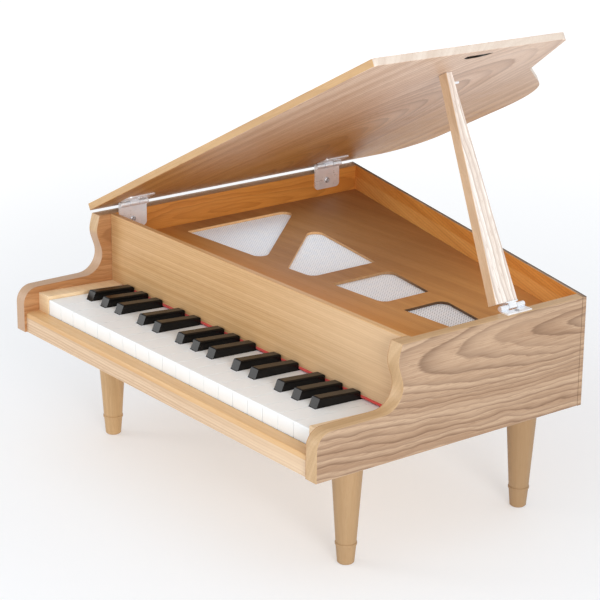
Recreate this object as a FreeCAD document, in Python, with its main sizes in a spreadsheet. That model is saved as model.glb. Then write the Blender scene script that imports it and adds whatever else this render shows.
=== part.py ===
import FreeCAD, Part
import math
import os
import re
import Sketcher

# Toy grand piano: wooden case on turned legs, short keyboard, tone tubes,
# soundboard with grille openings, and a lid held open by a prop stick.
# X runs from bass to treble, Y from the player to the tail, Z up from the floor.
# The origin is on the floor, under the middle of the overall width and depth.

doc = FreeCAD.newDocument("toy_piano")
sheet = doc.addObject("Spreadsheet::Sheet", "sizes")

# Driving dimensions, millimetres and degrees.
# Depths are measured back from the front of the arms, heights up from the case bottom.
SIZES = {
    # case
    "side_thick": 13.5,
    "left_depth": 371,
    "right_depth": 264,
    "back_thick": 4,
    "bottom_thick": 8,
    "cheek_width": 15.15,
    "cheek_gap": 0.5,
    "cheek_rear": 15,
    "edge_round": 1.2,
    "ledge_width": 4,
    # arms of the side panels
    "arm_rise": 8.4,
    "arm_nose": 14,
    "cheek_foot_lead": 2.5,
    "cheek_hollow": 18,
    "cheek_neck_lead": 15.5,
    "cheek_neck_drop": 14.5,
    "cheek_neck_round": 20,
    "cheek_top_lead": 11.5,
    # fallboard and key slip
    "fallboard_depth": 90.5,
    "fallboard_thick": 5,
    "fallboard_felt_thick": 2.4,
    "fallboard_felt_lip": 0.8,
    "key_felt_gap": 0.6,
    "slip_setback": 2,
    "slip_thick": 13,
    "slip_height": 17.5,
    "slip_gap": 0.6,
    # keys
    "white_pitch": 19.3,
    "white_head": 29.8,
    "key_gap": 0.6,
    "key_top": 30.6,
    "key_thick": 13.3,
    "key_slope": 0.043,
    "key_step_gap": 1,
    "key_round": 0.9,
    "key_tail_margin": 3,
    "black_rear_gap": 1,
    "black_width": 9.4,
    "black_rise": 7.7,
    "black_rear_rise": 6.6,
    "black_rake": 4.5,
    "black_round": 1.3,
    "black_sink": 1,
    "pivot_depth": 140,
    "rod_bore": 4,
    "running_gap": 0.05,
    "rod_end_gap": 1,
    "hammer_arm": 65,
    "hammer_length": 8,
    "hammer_width": 6,
    "hammer_rise": 10.4,
    # felt and rest rail under the keys
    "stop_felt_setback": 8.4,
    "stop_felt_length": 20,
    "stop_felt_thick": 2.8,
    "rest_rail_lead": 11,
    "rest_rail_length": 12,
    "rest_felt_thick": 1.4,
    "felt_gap": 0.3,
    # tone tubes
    "tube_bore": 6.6,
    "tube_outer": 9,
    "tube_lead": 7,
    "tube_back_gap": 15.6,
    "strike_gap": 4.2,
    "tube_rail_lead": 19,
    "tube_rail_thick": 8,
    "tube_felt_thick": 1.5,
    "tube_node_share": 0.776,
    "tube_board_gap": 0.3,
    # soundboard
    "soundboard_sink": 23,
    "soundboard_thick": 2.5,
    "soundboard_gap": 0.2,
    "cleat_width": 10,
    "cleat_height": 11.5,
    "net_thick": 0.8,
    "net_margin": 9,
    "net_gap": 1,
    "opening_setback": 72.5,
    "opening_depth": 67.3,
    "opening_front_slope": 0.06,
    "opening_slope": 0.175,
    "opening_a_width": 109,
    "opening_bar_slope": 1.07,
    "opening_b_gap": 29.6,
    "opening_b_width": 30.9,
    "opening_c_gap": 24.5,
    "opening_c_width": 63,
    "opening_d_gap": 23,
    "opening_d_width": 59,
    "opening_round": 8,
    "opening_tip_round": 2.5,
    # legs
    "leg_height": 99,
    "leg_inset": 47.5,
    "leg_front_depth": 67,
    "leg_rear_inset": 27,
    "leg_top_round": 13.7,
    "leg_ankle_round": 8.2,
    "leg_ring_round": 8.7,
    "leg_ring_width": 1.6,
    "leg_tip_round": 6.8,
    "leg_tip_height": 16,
    "leg_tip_edge": 1,
    "leg_bolt_bore": 6,
    "leg_bolt_depth": 24,
    "leg_nut_width": 13,
    "leg_nut_thick": 3,
    # lid
    "lid_thick": 6,
    "lid_front_lead": 14.5,
    "lid_tail_overhang": 79,
    "lid_wing_overhang": 18.7,
    "lid_overhang": 13,
    "lid_taper": 17,
    "lid_wing_width": 102,
    "lid_notch": 29.35,
    "lid_tail_width": 201.8,
    "lid_tail_corner": 45,
    "lid_shoulder": 150,
    "lid_hollow": 30,
    "lid_tip_round": 10,
    "lid_corner_round": 3,
    "lid_open_angle": 27.2,
    "slot_inset": 21.6,
    "slot_width": 10,
    "slot_setback": 106.5,
    "slot_length": 27.5,
    "slot_sink": 4,
    "slot_round": 9,
    # lid hinges
    "hinge_rise": 7,
    "hinge_lid_gap": 0.3,
    "hinge_leaf_thick": 1.2,
    "hinge_leaf_drop": 16,
    "hinge_leaf_reach": 18,
    "hinge_length": 29,
    "hinge_barrel": 5.2,
    "hinge_pin": 2.4,
    "hinge_knuckle_gap": 0.3,
    "hinge_notch_gap": 0.6,
    "hinge_front_gap": 3,
    "hinge_rear_inset": 39,
    "hinge_corner": 4,
    "screw_head": 5.2,
    "screw_head_rise": 1,
    "screw_shank": 2.6,
    "screw_length": 4.4,
    "wall_screw_drop": 8,
    "lid_screw_reach": 11,
    # prop stick
    "prop_rear_reach": 6.5,
    "prop_width": 22.5,
    "prop_tip_width": 6.2,
    "prop_thick": 9,
    "prop_foot_gap": 4,
    "prop_axis_inset": 1.5,
    "prop_seat_gap": 0.3,
    "prop_hinge_depth": 198.7,
    "prop_hinge_length": 24.7,
    "prop_hinge_barrel": 4.4,
    "prop_hinge_pin": 2,
    "prop_leaf_thick": 1,
    "prop_leaf_width": 10,
    "stick_leaf_length": 12,
    "stick_leaf_drop": 8,
    "prop_screw_inset": 6,
    "stick_screw_drop": 5.8,
    "stick_screw_spread": 7,
    "prop_screw_shank": 2,
    "prop_screw_head": 3.8,
    "prop_screw_rise": 0.7,
    "prop_screw_length": 6,
    # peg in the tip of the prop stick
    "peg_width": 2.4,
    "peg_drop": 8,
    "peg_sink": 4,
    "peg_reach": 7.3,
}
for row, (alias, value) in enumerate(SIZES.items(), start=1):
    sheet.set(f"A{row}", alias)
    sheet.set(f"B{row}", str(value))
    sheet.setAlias(f"B{row}", alias)
doc.recompute()

# Keyboard from F to C, as runs between two white neighbours without a black key:
# how many white keys a run holds, and its letters, black keys in small letters.
RUNS = [(4, "FfGgAaB"), (3, "CcDdE"), (4, "FfGgAaB"), (3, "CcDdE"), (4, "FfGgAaB"), (1, "C")]
WHITE_COUNT = sum(whites for whites, _ in RUNS)
KEY_COUNT = sum(len(letters) for _, letters in RUNS)
SEMITONES = 12
KNUCKLES = 3
FULL_TURN = 360
RIGHT_ANGLE = 90

# Lengths that several pieces share, written once as expressions on the sheet.
SHARED = {
    "KEYS_LEFT": f"(-{WHITE_COUNT} * white_pitch / 2)",
    "INNER": "(cheek_width + cheek_gap - KEYS_LEFT)",
    "HALF": "(INNER + side_thick)",
    "BACK_SLOPE": "((left_depth - right_depth) / (2 * HALF))",
    "BACK_MID": "((left_depth + right_depth) / 2)",
    "LEG_SIDE": "(HALF - leg_inset)",
    "LEG_REAR": "(BACK_MID - BACK_SLOPE * LEG_SIDE - leg_rear_inset)",
    "FRONT": "(-LID_TAIL / 2)",
    # heights in the case
    "KEY_BOTTOM": "(key_top - key_thick)",
    "PIVOT_HEIGHT": "(key_top - key_thick / 2)",
    "KEY_FALL": "(key_slope * (fallboard_depth - KEY_FRONT))",
    "FALL_BOTTOM": "(key_top - KEY_FALL + key_felt_gap + fallboard_felt_thick)",
    "TUBE_BOTTOM": "(key_top + hammer_rise + strike_gap)",
    "TUBE_SEAT": "(TUBE_BOTTOM - tube_felt_thick)",
    "BOARD_BOTTOM": "(TUBE_BOTTOM + tube_outer + tube_board_gap + cleat_height)",
    "CASE_HEIGHT": "(BOARD_BOTTOM + soundboard_thick + soundboard_sink)",
    "TOP": "(leg_height + CASE_HEIGHT)",
    # depths in the case
    "SLIP_REAR": "(slip_setback + slip_thick)",
    "FALL_REAR": "(fallboard_depth + fallboard_thick)",
    "KEY_FRONT": "(SLIP_REAR + slip_gap)",
    "BLACK_FRONT": "(KEY_FRONT + white_head)",
    "BLACK_REAR": "(fallboard_depth - black_rear_gap)",
    "KEY_STEP": "(FALL_REAR + key_step_gap)",
    "HAMMER_DEPTH": "(pivot_depth + hammer_arm)",
    "KEY_TAIL": "(HAMMER_DEPTH + hammer_length / 2 + key_tail_margin)",
    "REST_FRONT": "(HAMMER_DEPTH - rest_rail_lead)",
    "TUBE_FRONT": "(HAMMER_DEPTH - tube_lead)",
    "TUBE_LONGEST": "(BACK_MID - BACK_SLOPE * KEYS_LEFT - tube_back_gap - TUBE_FRONT)",
    "OPENING_FRONT": "(FALL_REAR + opening_setback)",
    # lid, measured across from its hinge axis
    "LID_AXIS": "(hinge_barrel / 2 - INNER)",
    "LID_UNDER": "(hinge_barrel / 2 + hinge_lid_gap)",
    "LID_LEFT": "(-side_thick - hinge_barrel / 2)",
    "LID_RIGHT": "(HALF + lid_overhang - LID_AXIS)",
    "LID_TIP": "(LID_RIGHT - lid_taper)",
    "LID_FRONT": "(fallboard_depth - lid_front_lead)",
    "LID_TAIL": "(left_depth + lid_tail_overhang)",
    "LID_WING": "(right_depth + lid_wing_overhang)",
    "LID_SHOULDER": "(LID_LEFT + lid_tail_width)",
    "NOTCH_SLOPE": "((LID_TAIL - LID_WING) / (LID_TIP - LID_SHOULDER))",
    "HINGE_FRONT": "(FALL_REAR + hinge_front_gap + hinge_length / 2)",
    "HINGE_REAR": "(left_depth - hinge_rear_inset)",
    "KNUCKLE": f"(hinge_length / {KNUCKLES})",
    # prop stick, long enough to reach from its hinge to the lid's underside
    "PROP_AXIS": "(INNER + prop_axis_inset)",
    "PROP_REAR": "(prop_hinge_depth + prop_rear_reach)",
    "PROP_HALF_BARREL": "(prop_hinge_barrel / 2)",
    "PROP_RISE": "(PROP_HALF_BARREL + hinge_knuckle_gap)",
    "PROP_FACE": "(PROP_HALF_BARREL - prop_leaf_thick)",
    "PROP_KNUCKLE": f"(prop_hinge_length / {KNUCKLES})",
    "ACROSS": "(PROP_AXIS - LID_AXIS)",
    "LOWER": "(hinge_rise - PROP_RISE)",
    "PROP_LEAN": f"({RIGHT_ANGLE} - lid_open_angle)",
    "LID_ANGLE": "(lid_open_angle * 1deg)",
    "PROP_LENGTH": "(LID_UNDER - prop_seat_gap + sin(LID_ANGLE) * ACROSS + cos(LID_ANGLE) * LOWER)",
    "PEG_ALONG": "(peg_drop - PROP_LENGTH)",
    "PEG_START": "(PROP_REAR - peg_sink)",
}


# Reading the sheet
def spell(text):
    """Write an expression with the shared lengths put in."""
    while True:
        longer = re.sub(r"[A-Z][A-Z_]+", lambda word: SHARED[word.group()], text)
        if longer == text:
            return longer
        text = longer


def bound(text):
    """The same expression as another object of the document sees it."""
    return re.sub(r"[a-z][a-z_]+", lambda word: known(word.group()), spell(text))


def known(word):
    return f"sizes.{word}" if word in SIZES else word


def number(text):
    """The expression's present value."""
    return float(sheet.evalExpression(spell(text)))


# Bodies, sketches and features
def place(item, x="0", y="FRONT", z="0", turn=None, axis=(0, 1, 0)):
    """Bind an object's place, and its turn about an axis, to the sheet."""
    angle = number(turn) if turn else 0
    spot = FreeCAD.Vector(number(x), number(y), number(z))
    item.Placement = FreeCAD.Placement(spot, FreeCAD.Rotation(FreeCAD.Vector(*axis), angle))
    for letter, text in zip("xyz", (x, y, z)):
        item.setExpression(f"Placement.Base.{letter}", bound(text))
    if turn:
        item.setExpression("Placement.Rotation.Angle", bound(turn))


def new_body(label, **where):
    body = doc.addObject("PartDesign::Body", label)
    body.Label = label
    body.AllowCompound = True
    place(body, **where)
    return body


def new_sketch(body, role, shift=None):
    """An empty sketch on one of the body's own planes, moved along its normal by shift."""
    sketch = body.newObject("Sketcher::SketchObject", f"{body.Label}_sketch")
    plane = next(part for part in body.Origin.OriginFeatures if part.Role == role)
    sketch.AttachmentSupport = (plane, [""])
    sketch.MapMode = "FlatFace"
    if shift:
        sketch.AttachmentOffset = FreeCAD.Placement(FreeCAD.Vector(0, 0, number(shift)), FreeCAD.Rotation())
        sketch.setExpression("AttachmentOffset.Base.z", bound(shift))
    return sketch


def hold(sketch, kind, where, text):
    """Hold a sketch point or circle to an expression."""
    made = sketch.addConstraint(Sketcher.Constraint(kind, *where, number(text)))
    sketch.setExpression(f"Constraints[{made}]", bound(text))


def pin_point(sketch, line, end, point):
    """Pin a point of the sketch to its two coordinates."""
    for kind, text in zip(("DistanceX", "DistanceY"), point):
        hold(sketch, kind, (-1, 1, line, end), text)


def draw(sketch, points):
    """Draw a closed outline of straight lines through points given as expressions."""
    spots = [FreeCAD.Vector(number(x), number(y), 0) for x, y in points]
    first = sketch.GeometryCount
    count = len(spots)
    for step in range(count):
        sketch.addGeometry(Part.LineSegment(spots[step], spots[(step + 1) % count]), False)
    for step in range(count):
        follower = first + (step + 1) % count
        sketch.addConstraint(Sketcher.Constraint("Coincident", first + step, 2, follower, 1))
        pin_point(sketch, first + step, 1, points[step])


def draw_box(sketch, x0, y0, x1, y1):
    draw(sketch, [(x0, y0), (x1, y0), (x1, y1), (x0, y1)])


def draw_circle(sketch, x, y, diameter):
    centre = FreeCAD.Vector(number(x), number(y), 0)
    ring = sketch.addGeometry(Part.Circle(centre, FreeCAD.Vector(0, 0, 1), number(diameter) / 2), False)
    pin_point(sketch, ring, 3, (x, y))
    hold(sketch, "Diameter", (ring,), diameter)


def finish(body, feature):
    body.Tip = feature
    doc.recompute()
    return feature


def pad(body, sketch, length, midplane=False, backwards=False):
    feature = body.newObject("PartDesign::Pad", f"{body.Label}_pad")
    feature.Profile = sketch
    feature.Length = number(length)
    feature.setExpression("Length", bound(length))
    feature.SideType = "Symmetric" if midplane else "One side"
    feature.Reversed = backwards
    return finish(body, feature)


def pocket(body, sketch, length=None, midplane=False, backwards=False):
    """Cut the sketch to a depth, or right through where no length is given."""
    feature = body.newObject("PartDesign::Pocket", f"{body.Label}_pocket")
    feature.Profile = sketch
    feature.SideType = "Symmetric" if midplane else "One side"
    feature.Reversed = backwards
    if length:
        feature.Length = number(length)
        feature.setExpression("Length", bound(length))
    else:
        feature.Type = "ThroughAll"
    return finish(body, feature)


def edge_names(shape, wanted):
    """Names of the edges whose two ends both pass the test."""
    names = []
    for place_in_list, edge in enumerate(shape.Edges, start=1):
        ends = [vertex.Point for vertex in edge.Vertexes]
        if len(ends) == 2 and all(wanted(end) for end in ends):
            names.append(f"Edge{place_in_list}")
    return names


def round_edges(body, wanted, radius):
    """Fillet the chosen edges of the body's last feature."""
    base = body.Tip
    feature = body.newObject("PartDesign::Fillet", f"{body.Label}_fillet")
    feature.Base = (base, edge_names(base.Shape, wanted))
    feature.Radius = number(radius)
    feature.setExpression("Radius", bound(radius))
    return finish(body, feature)


NEAR = 0.01


def corner(point, axes):
    """A test for edge ends lying at a point in the two given axes."""
    goal = [number(text) for text in point]

    def wanted(end):
        return all(abs(getattr(end, axis) - spot) < NEAR for axis, spot in zip(axes, goal))

    return wanted


def level(axis, text):
    """A test for edge ends lying at one height along an axis."""
    goal = number(text)
    return lambda end: abs(getattr(end, axis) - goal) < NEAR


def within(axis, low, high):
    """A test for edge ends lying between two places along an axis."""
    start = number(low) - NEAR
    stop = number(high) + NEAR
    return lambda end: start < getattr(end, axis) < stop


def plate(label, points, thick, **where):
    """A flat board: a straight-lined outline padded upwards to a thickness."""
    body = new_body(label, **where)
    sketch = new_sketch(body, "XY_Plane")
    draw(sketch, points)
    pad(body, sketch, thick)
    return body


def box_outline(x0, y0, x1, y1):
    return [(x0, y0), (x1, y0), (x1, y1), (x0, y1)]


def beside(middle, spread):
    """Two places, half a spread before and behind a middle."""
    return f"{middle} - ({spread}) / 2", f"{middle} + ({spread}) / 2"


def back_line(x, less="0"):
    """Depth of the back panel's inner face at a place across, less a distance."""
    return f"BACK_MID - BACK_SLOPE * ({x}) - ({less})"


HINGES = ("HINGE_FRONT", "HINGE_REAR")


# Side panels with S-curved arms
def side_panel(label, outer, inner, inwards):
    body = new_body(label, x=outer, z="leg_height")
    arm = [
        ("0", "0"),
        ("0", "key_top + arm_rise"),
        ("fallboard_depth - cheek_foot_lead", "key_top + arm_rise"),
        ("fallboard_depth - cheek_neck_lead", "CASE_HEIGHT - cheek_neck_drop"),
        ("fallboard_depth - cheek_top_lead", "CASE_HEIGHT"),
        ("left_depth", "CASE_HEIGHT"),
        ("left_depth", "0"),
    ]
    sketch = new_sketch(body, "YZ_Plane")
    draw(sketch, arm)
    pad(body, sketch, "side_thick", backwards=inwards < 0)
    round_edges(body, corner(arm[1], "yz"), "arm_nose")
    round_edges(body, corner(arm[2], "yz"), "cheek_hollow")
    round_edges(body, corner(arm[3], "yz"), "cheek_neck_round")
    sketch = new_sketch(body, "XY_Plane")
    inside = f"{inner} - ({outer})"
    draw(sketch, [
        ("0", back_line(outer)),
        (inside, back_line(inner)),
        (inside, "left_depth + side_thick"),
        ("0", "left_depth + side_thick"),
    ])
    pocket(body, sketch, "CASE_HEIGHT", backwards=True)
    round_edges(body, level("x", "0"), "edge_round")
    return body


def case():
    left = side_panel("left_side", "-HALF", "-INNER", 1)
    right = side_panel("right_side", "HALF", "INNER", -1)
    sketch = new_sketch(left, "YZ_Plane", "side_thick")
    for hinge in HINGES:
        draw_circle(sketch, hinge, "CASE_HEIGHT - wall_screw_drop", "screw_shank")
    pocket(left, sketch, "screw_length - hinge_leaf_thick")
    sketch = new_sketch(right, "XY_Plane", "CASE_HEIGHT")
    draw_circle(sketch, "PROP_AXIS + prop_screw_inset - HALF", "prop_hinge_depth", "prop_screw_shank")
    pocket(right, sketch, "prop_screw_length - prop_leaf_thick")
    # The treble side is thinner above the soundboard, and its ledge lies level with the board.
    sketch = new_sketch(right, "XY_Plane", "CASE_HEIGHT")
    draw_box(sketch, "INNER - HALF", "FALL_REAR", "INNER + ledge_width - HALF", "left_depth")
    pocket(right, sketch, "soundboard_sink")

    bottom = plate("bottom_board", [
        ("-INNER", "SLIP_REAR"),
        ("INNER", "SLIP_REAR"),
        ("INNER", back_line("INNER")),
        ("-INNER", back_line("-INNER")),
    ], "bottom_thick", z="leg_height")
    sketch = new_sketch(bottom, "XY_Plane")
    for x, y in LEG_SPOTS:
        draw_circle(sketch, x, y, "leg_bolt_bore")
    pocket(bottom, sketch, "bottom_thick", backwards=True)
    sketch = new_sketch(bottom, "XY_Plane", "bottom_thick")
    for x, y in LEG_SPOTS:
        draw_circle(sketch, x, y, "leg_nut_width")
    pocket(bottom, sketch, "leg_nut_thick")

    stretch = "sqrt(1 + BACK_SLOPE * BACK_SLOPE)"
    plate("back_panel", [
        ("-HALF", back_line("-HALF")),
        ("HALF", back_line("HALF")),
        ("HALF", back_line("HALF", f"-back_thick * {stretch}")),
        ("-HALF", back_line("-HALF", f"-back_thick * {stretch}")),
    ], "CASE_HEIGHT", z="leg_height")
    plate("fallboard", box_outline("-INNER", "fallboard_depth", "INNER", "FALL_REAR"),
          "CASE_HEIGHT - FALL_BOTTOM", z="leg_height + FALL_BOTTOM")
    slip = plate("key_slip", box_outline("-INNER", "slip_setback", "INNER", "SLIP_REAR"),
                 "slip_height", z="leg_height")
    round_edges(slip, corner(("slip_setback", "slip_height"), "yz"), "edge_round")
    plate("fallboard_felt", box_outline("KEYS_LEFT", "fallboard_depth - fallboard_felt_lip",
                                        "-KEYS_LEFT", "FALL_REAR"),
          "fallboard_felt_thick", z="leg_height + FALL_BOTTOM - fallboard_felt_thick")


# Four tapered legs with a ring above the tip
LEG_SPOTS = [(side, depth) for depth in ("leg_front_depth", "LEG_REAR")
             for side in ("-LEG_SIDE", "LEG_SIDE")]


def legs():
    ring_top = "leg_tip_height + leg_ring_width"
    profile = [
        ("0", "0"),
        ("leg_tip_round - leg_tip_edge", "0"),
        ("leg_tip_round", "leg_tip_edge"),
        ("leg_ankle_round", "leg_tip_height"),
        ("leg_ring_round", "leg_tip_height"),
        ("leg_ring_round", ring_top),
        ("leg_ankle_round", ring_top),
        ("leg_top_round", "leg_height"),
        ("0", "leg_height"),
    ]
    legs_body = []
    for x, y in LEG_SPOTS:
        turned = new_body("leg_blank", x=x, y=f"FRONT + {y}")
        sketch = new_sketch(turned, "XZ_Plane")
        draw(sketch, profile)
        lathe = turned.newObject("PartDesign::Revolution", "leg_turning")
        lathe.Profile = sketch
        lathe.ReferenceAxis = (sketch, ["V_Axis"])
        lathe.Angle = FULL_TURN
        finish(turned, lathe)
        sketch = new_sketch(turned, "XY_Plane", "leg_height")
        draw_circle(sketch, "0", "0", "leg_bolt_bore")
        pocket(turned, sketch, "leg_bolt_depth")
        legs_body.append(turned)
    group("legs", legs_body)


def group(label, members):
    """Several solids handed in as one node."""
    compound = doc.addObject("Part::Compound", label)
    compound.Label = label
    compound.Links = members
    doc.recompute()
    return compound


def key_layout():
    """Name, colour and the four side edges of every key, as expressions."""
    keys = []
    whites = 0
    for width, letters in RUNS:
        step = f"({width} * white_pitch / {len(letters)})"
        start = f"(KEYS_LEFT + {whites} * white_pitch)"
        white_here = 0
        for place_in_run, letter in enumerate(letters):
            middle = f"({start} + ({place_in_run} + 1 / 2) * {step})"
            black = letter.islower()
            half = "black_width / 2"
            if black:
                keys.append((letter, True, middle, None, None, f"-{half}", half))
                continue
            head_left = f"{start} + {white_here} * white_pitch + key_gap / 2 - {middle}"
            head_right = f"{start} + {white_here + 1} * white_pitch - key_gap / 2 - {middle}"
            stem = f"({step} - {half} - key_gap)"
            black_before = place_in_run > 0 and letters[place_in_run - 1].islower()
            black_after = place_in_run + 1 < len(letters) and letters[place_in_run + 1].islower()
            keys.append((letter, False, middle, head_left, head_right,
                         f"-{stem}" if black_before else head_left,
                         stem if black_after else head_right))
            white_here += 1
        whites += width
    return keys


def fall_away(body, top, end):
    """Cut a top that is level at the key fronts down to the slope of the keyboard, as far back as end."""
    sketch = new_sketch(body, "YZ_Plane")
    seat = f"{top} - KEY_FALL"
    draw(sketch, [("KEY_FRONT", top), ("fallboard_depth", seat), (end, seat), (end, top)])
    pocket(body, sketch, midplane=True)


def white_key(body, head_left, head_right, stem_left, stem_right):
    shoulder = "BLACK_FRONT - key_gap"
    points = [(head_left, "KEY_FRONT"), (head_right, "KEY_FRONT")]
    if stem_right != head_right:
        points += [(head_right, shoulder), (stem_right, shoulder)]
    points += [(stem_right, "KEY_TAIL"), (stem_left, "KEY_TAIL")]
    if stem_left != head_left:
        points += [(stem_left, shoulder), (head_left, shoulder)]
    sketch = new_sketch(body, "XY_Plane")
    draw(sketch, points)
    pad(body, sketch, "key_thick")
    fall_away(body, "key_thick", "KEY_STEP")


BLACK_STEM = "key_thick - black_sink"
BLACK_HIGH = "key_thick + black_rise - key_slope * (white_head + black_rake)"
BLACK_LOW = "key_thick + black_rear_rise - key_slope * (BLACK_REAR - KEY_FRONT)"


def black_key(body, stem_left, stem_right):
    sketch = new_sketch(body, "XY_Plane")
    draw_box(sketch, stem_left, "BLACK_FRONT", stem_right, "KEY_TAIL")
    pad(body, sketch, BLACK_STEM)
    fall_away(body, BLACK_STEM, "KEY_STEP")
    sketch = new_sketch(body, "YZ_Plane")
    seat = f"{BLACK_STEM} - KEY_FALL"
    draw(sketch, [
        ("BLACK_FRONT", seat),
        ("BLACK_REAR", seat),
        ("BLACK_REAR", BLACK_LOW),
        ("BLACK_FRONT + black_rake", BLACK_HIGH),
    ])
    pad(body, sketch, "black_width", midplane=True)


def key(number_in_row, letter, black, middle, head_left, head_right, stem_left, stem_right):
    name = letter.upper() + ("_sharp" if black else "")
    body = new_body(f"key_{number_in_row:02d}_{name}", x=middle, z="leg_height + KEY_BOTTOM")
    if black:
        black_key(body, stem_left, stem_right)
    else:
        white_key(body, head_left, head_right, stem_left, stem_right)
    sketch = new_sketch(body, "YZ_Plane")
    foot = BLACK_STEM if black else "key_thick"
    draw_box(sketch, "HAMMER_DEPTH - hammer_length / 2", foot,
             "HAMMER_DEPTH + hammer_length / 2", "key_thick + hammer_rise")
    pad(body, sketch, "hammer_width", midplane=True)
    sketch = new_sketch(body, "YZ_Plane")
    draw_circle(sketch, "pivot_depth", "PIVOT_HEIGHT - KEY_BOTTOM", "rod_bore + 2 * running_gap")
    pocket(body, sketch, midplane=True)
    if black:
        round_edges(body, within("z", BLACK_LOW, BLACK_HIGH), "black_round")
    else:
        round_edges(body, corner(("KEY_FRONT", "key_thick"), "yz"), "key_round")


def keyboard():
    for number_in_row, entry in enumerate(key_layout(), start=1):
        key(number_in_row, *entry)
    cheeks = []
    for side, start, end in (("left", "-INNER", "KEYS_LEFT - cheek_gap"),
                             ("right", "cheek_gap - KEYS_LEFT", "INNER")):
        rear = "pivot_depth + cheek_rear"
        top = "FALL_BOTTOM + KEY_FALL - bottom_thick"
        block = plate(f"cheek_{side}", box_outline(start, "SLIP_REAR", end, rear), top,
                      z="leg_height + bottom_thick")
        fall_away(block, top, rear)
        sketch = new_sketch(block, "YZ_Plane")
        draw_circle(sketch, "pivot_depth", "PIVOT_HEIGHT - bottom_thick", "rod_bore")
        pocket(block, sketch, midplane=True)
        cheeks.append(block)
    group("cheek_blocks", cheeks)
    rod = doc.addObject("Part::Cylinder", "key_pivot_rod")
    rod.Label = "key_pivot_rod"
    rod.setExpression("Radius", bound("rod_bore / 2"))
    rod.setExpression("Height", bound("2 * INNER - 2 * rod_end_gap"))
    place(rod, x="-INNER + rod_end_gap", y="FRONT + pivot_depth", z="leg_height + PIVOT_HEIGHT")
    rod.Placement.Rotation = FreeCAD.Rotation(FreeCAD.Vector(0, 1, 0), RIGHT_ANGLE)
    plate("key_rest_rail", box_outline("KEYS_LEFT", "REST_FRONT", "-KEYS_LEFT",
                                       "REST_FRONT + rest_rail_length"),
          "KEY_BOTTOM - felt_gap - rest_felt_thick - bottom_thick", z="leg_height + bottom_thick")


# Tone tubes, one for each key: a free tube sounds an octave higher at 1/sqrt(2) of its length
def tube_length(place_in_row):
    return f"TUBE_LONGEST * pow(2; -{place_in_row} / {2 * SEMITONES})"


def cylinder(name, diameter, length, x, y, z):
    """A cylinder lying along Y."""
    solid = doc.addObject("Part::Cylinder", name)
    solid.setExpression("Radius", bound(f"({diameter}) / 2"))
    solid.setExpression("Height", bound(length))
    place(solid, x=x, y=y, z=z)
    solid.Placement.Rotation = FreeCAD.Rotation(FreeCAD.Vector(1, 0, 0), -RIGHT_ANGLE)
    return solid


def cut(name, base, tool):
    result = doc.addObject("Part::Cut", name)
    result.Base = base
    result.Tool = tool
    return result


def rear_rail_line(x, shift):
    """Depth of the rear tube rail at a place across, in line with the tubes' rear nodes."""
    bass = "(TUBE_FRONT + tube_node_share * TUBE_LONGEST)"
    treble = f"(TUBE_FRONT + tube_node_share * {tube_length(KEY_COUNT - 1)})"
    share = f"(({x}) - KEYS_LEFT) / (-2 * KEYS_LEFT)"
    return f"{bass} + ({treble} - {bass}) * {share} + {shift}"


def sound():
    axis_height = "leg_height + TUBE_BOTTOM + tube_outer / 2"
    tubes = []
    for place_in_row, entry in enumerate(key_layout()):
        spot = {"x": entry[2], "y": "FRONT + TUBE_FRONT", "z": axis_height}
        outer = cylinder("tube_outside", "tube_outer", tube_length(place_in_row), **spot)
        inner = cylinder("tube_inside", "tube_bore", tube_length(place_in_row), **spot)
        tubes.append(cut("tube", outer, inner))
    group("tone_tubes", tubes)

    rear = [(x, rear_rail_line(x, shift)) for x, shift in (
        ("KEYS_LEFT", "0"), ("-KEYS_LEFT", "0"),
        ("-KEYS_LEFT", "tube_rail_thick"), ("KEYS_LEFT", "tube_rail_thick"))]
    front = box_outline("KEYS_LEFT", "TUBE_FRONT + tube_rail_lead", "-KEYS_LEFT",
                        "TUBE_FRONT + tube_rail_lead + tube_rail_thick")
    rails = [plate(f"tube_rail_{name}", outline, "TUBE_SEAT - bottom_thick",
                   z="leg_height + bottom_thick")
             for name, outline in (("front", front), ("rear", rear))]
    group("tube_rails", rails)

    stop_front = "KEY_FRONT + stop_felt_setback"
    stop_felt = box_outline("KEYS_LEFT", stop_front, "-KEYS_LEFT", f"{stop_front} + stop_felt_length")
    rest_felt = box_outline("KEYS_LEFT", "REST_FRONT", "-KEYS_LEFT", "REST_FRONT + rest_rail_length")
    rest_seat = "leg_height + KEY_BOTTOM - felt_gap - rest_felt_thick"
    strips = [
        plate("felt_front_stop", stop_felt, "stop_felt_thick", z="leg_height + bottom_thick"),
        plate("felt_tail_rest", rest_felt, "rest_felt_thick", z=rest_seat),
        plate("felt_tube_front", front, "tube_felt_thick", z="leg_height + TUBE_SEAT"),
        plate("felt_tube_rear", rear, "tube_felt_thick", z="leg_height + TUBE_SEAT"),
    ]
    group("felt_strips", strips)


# Soundboard with four grille openings, and the net behind them
def opening_front(x):
    return f"(OPENING_FRONT + opening_front_slope * ({x}))"


def opening_rear(x):
    return f"(OPENING_FRONT + opening_depth - opening_slope * ({x}))"


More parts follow.
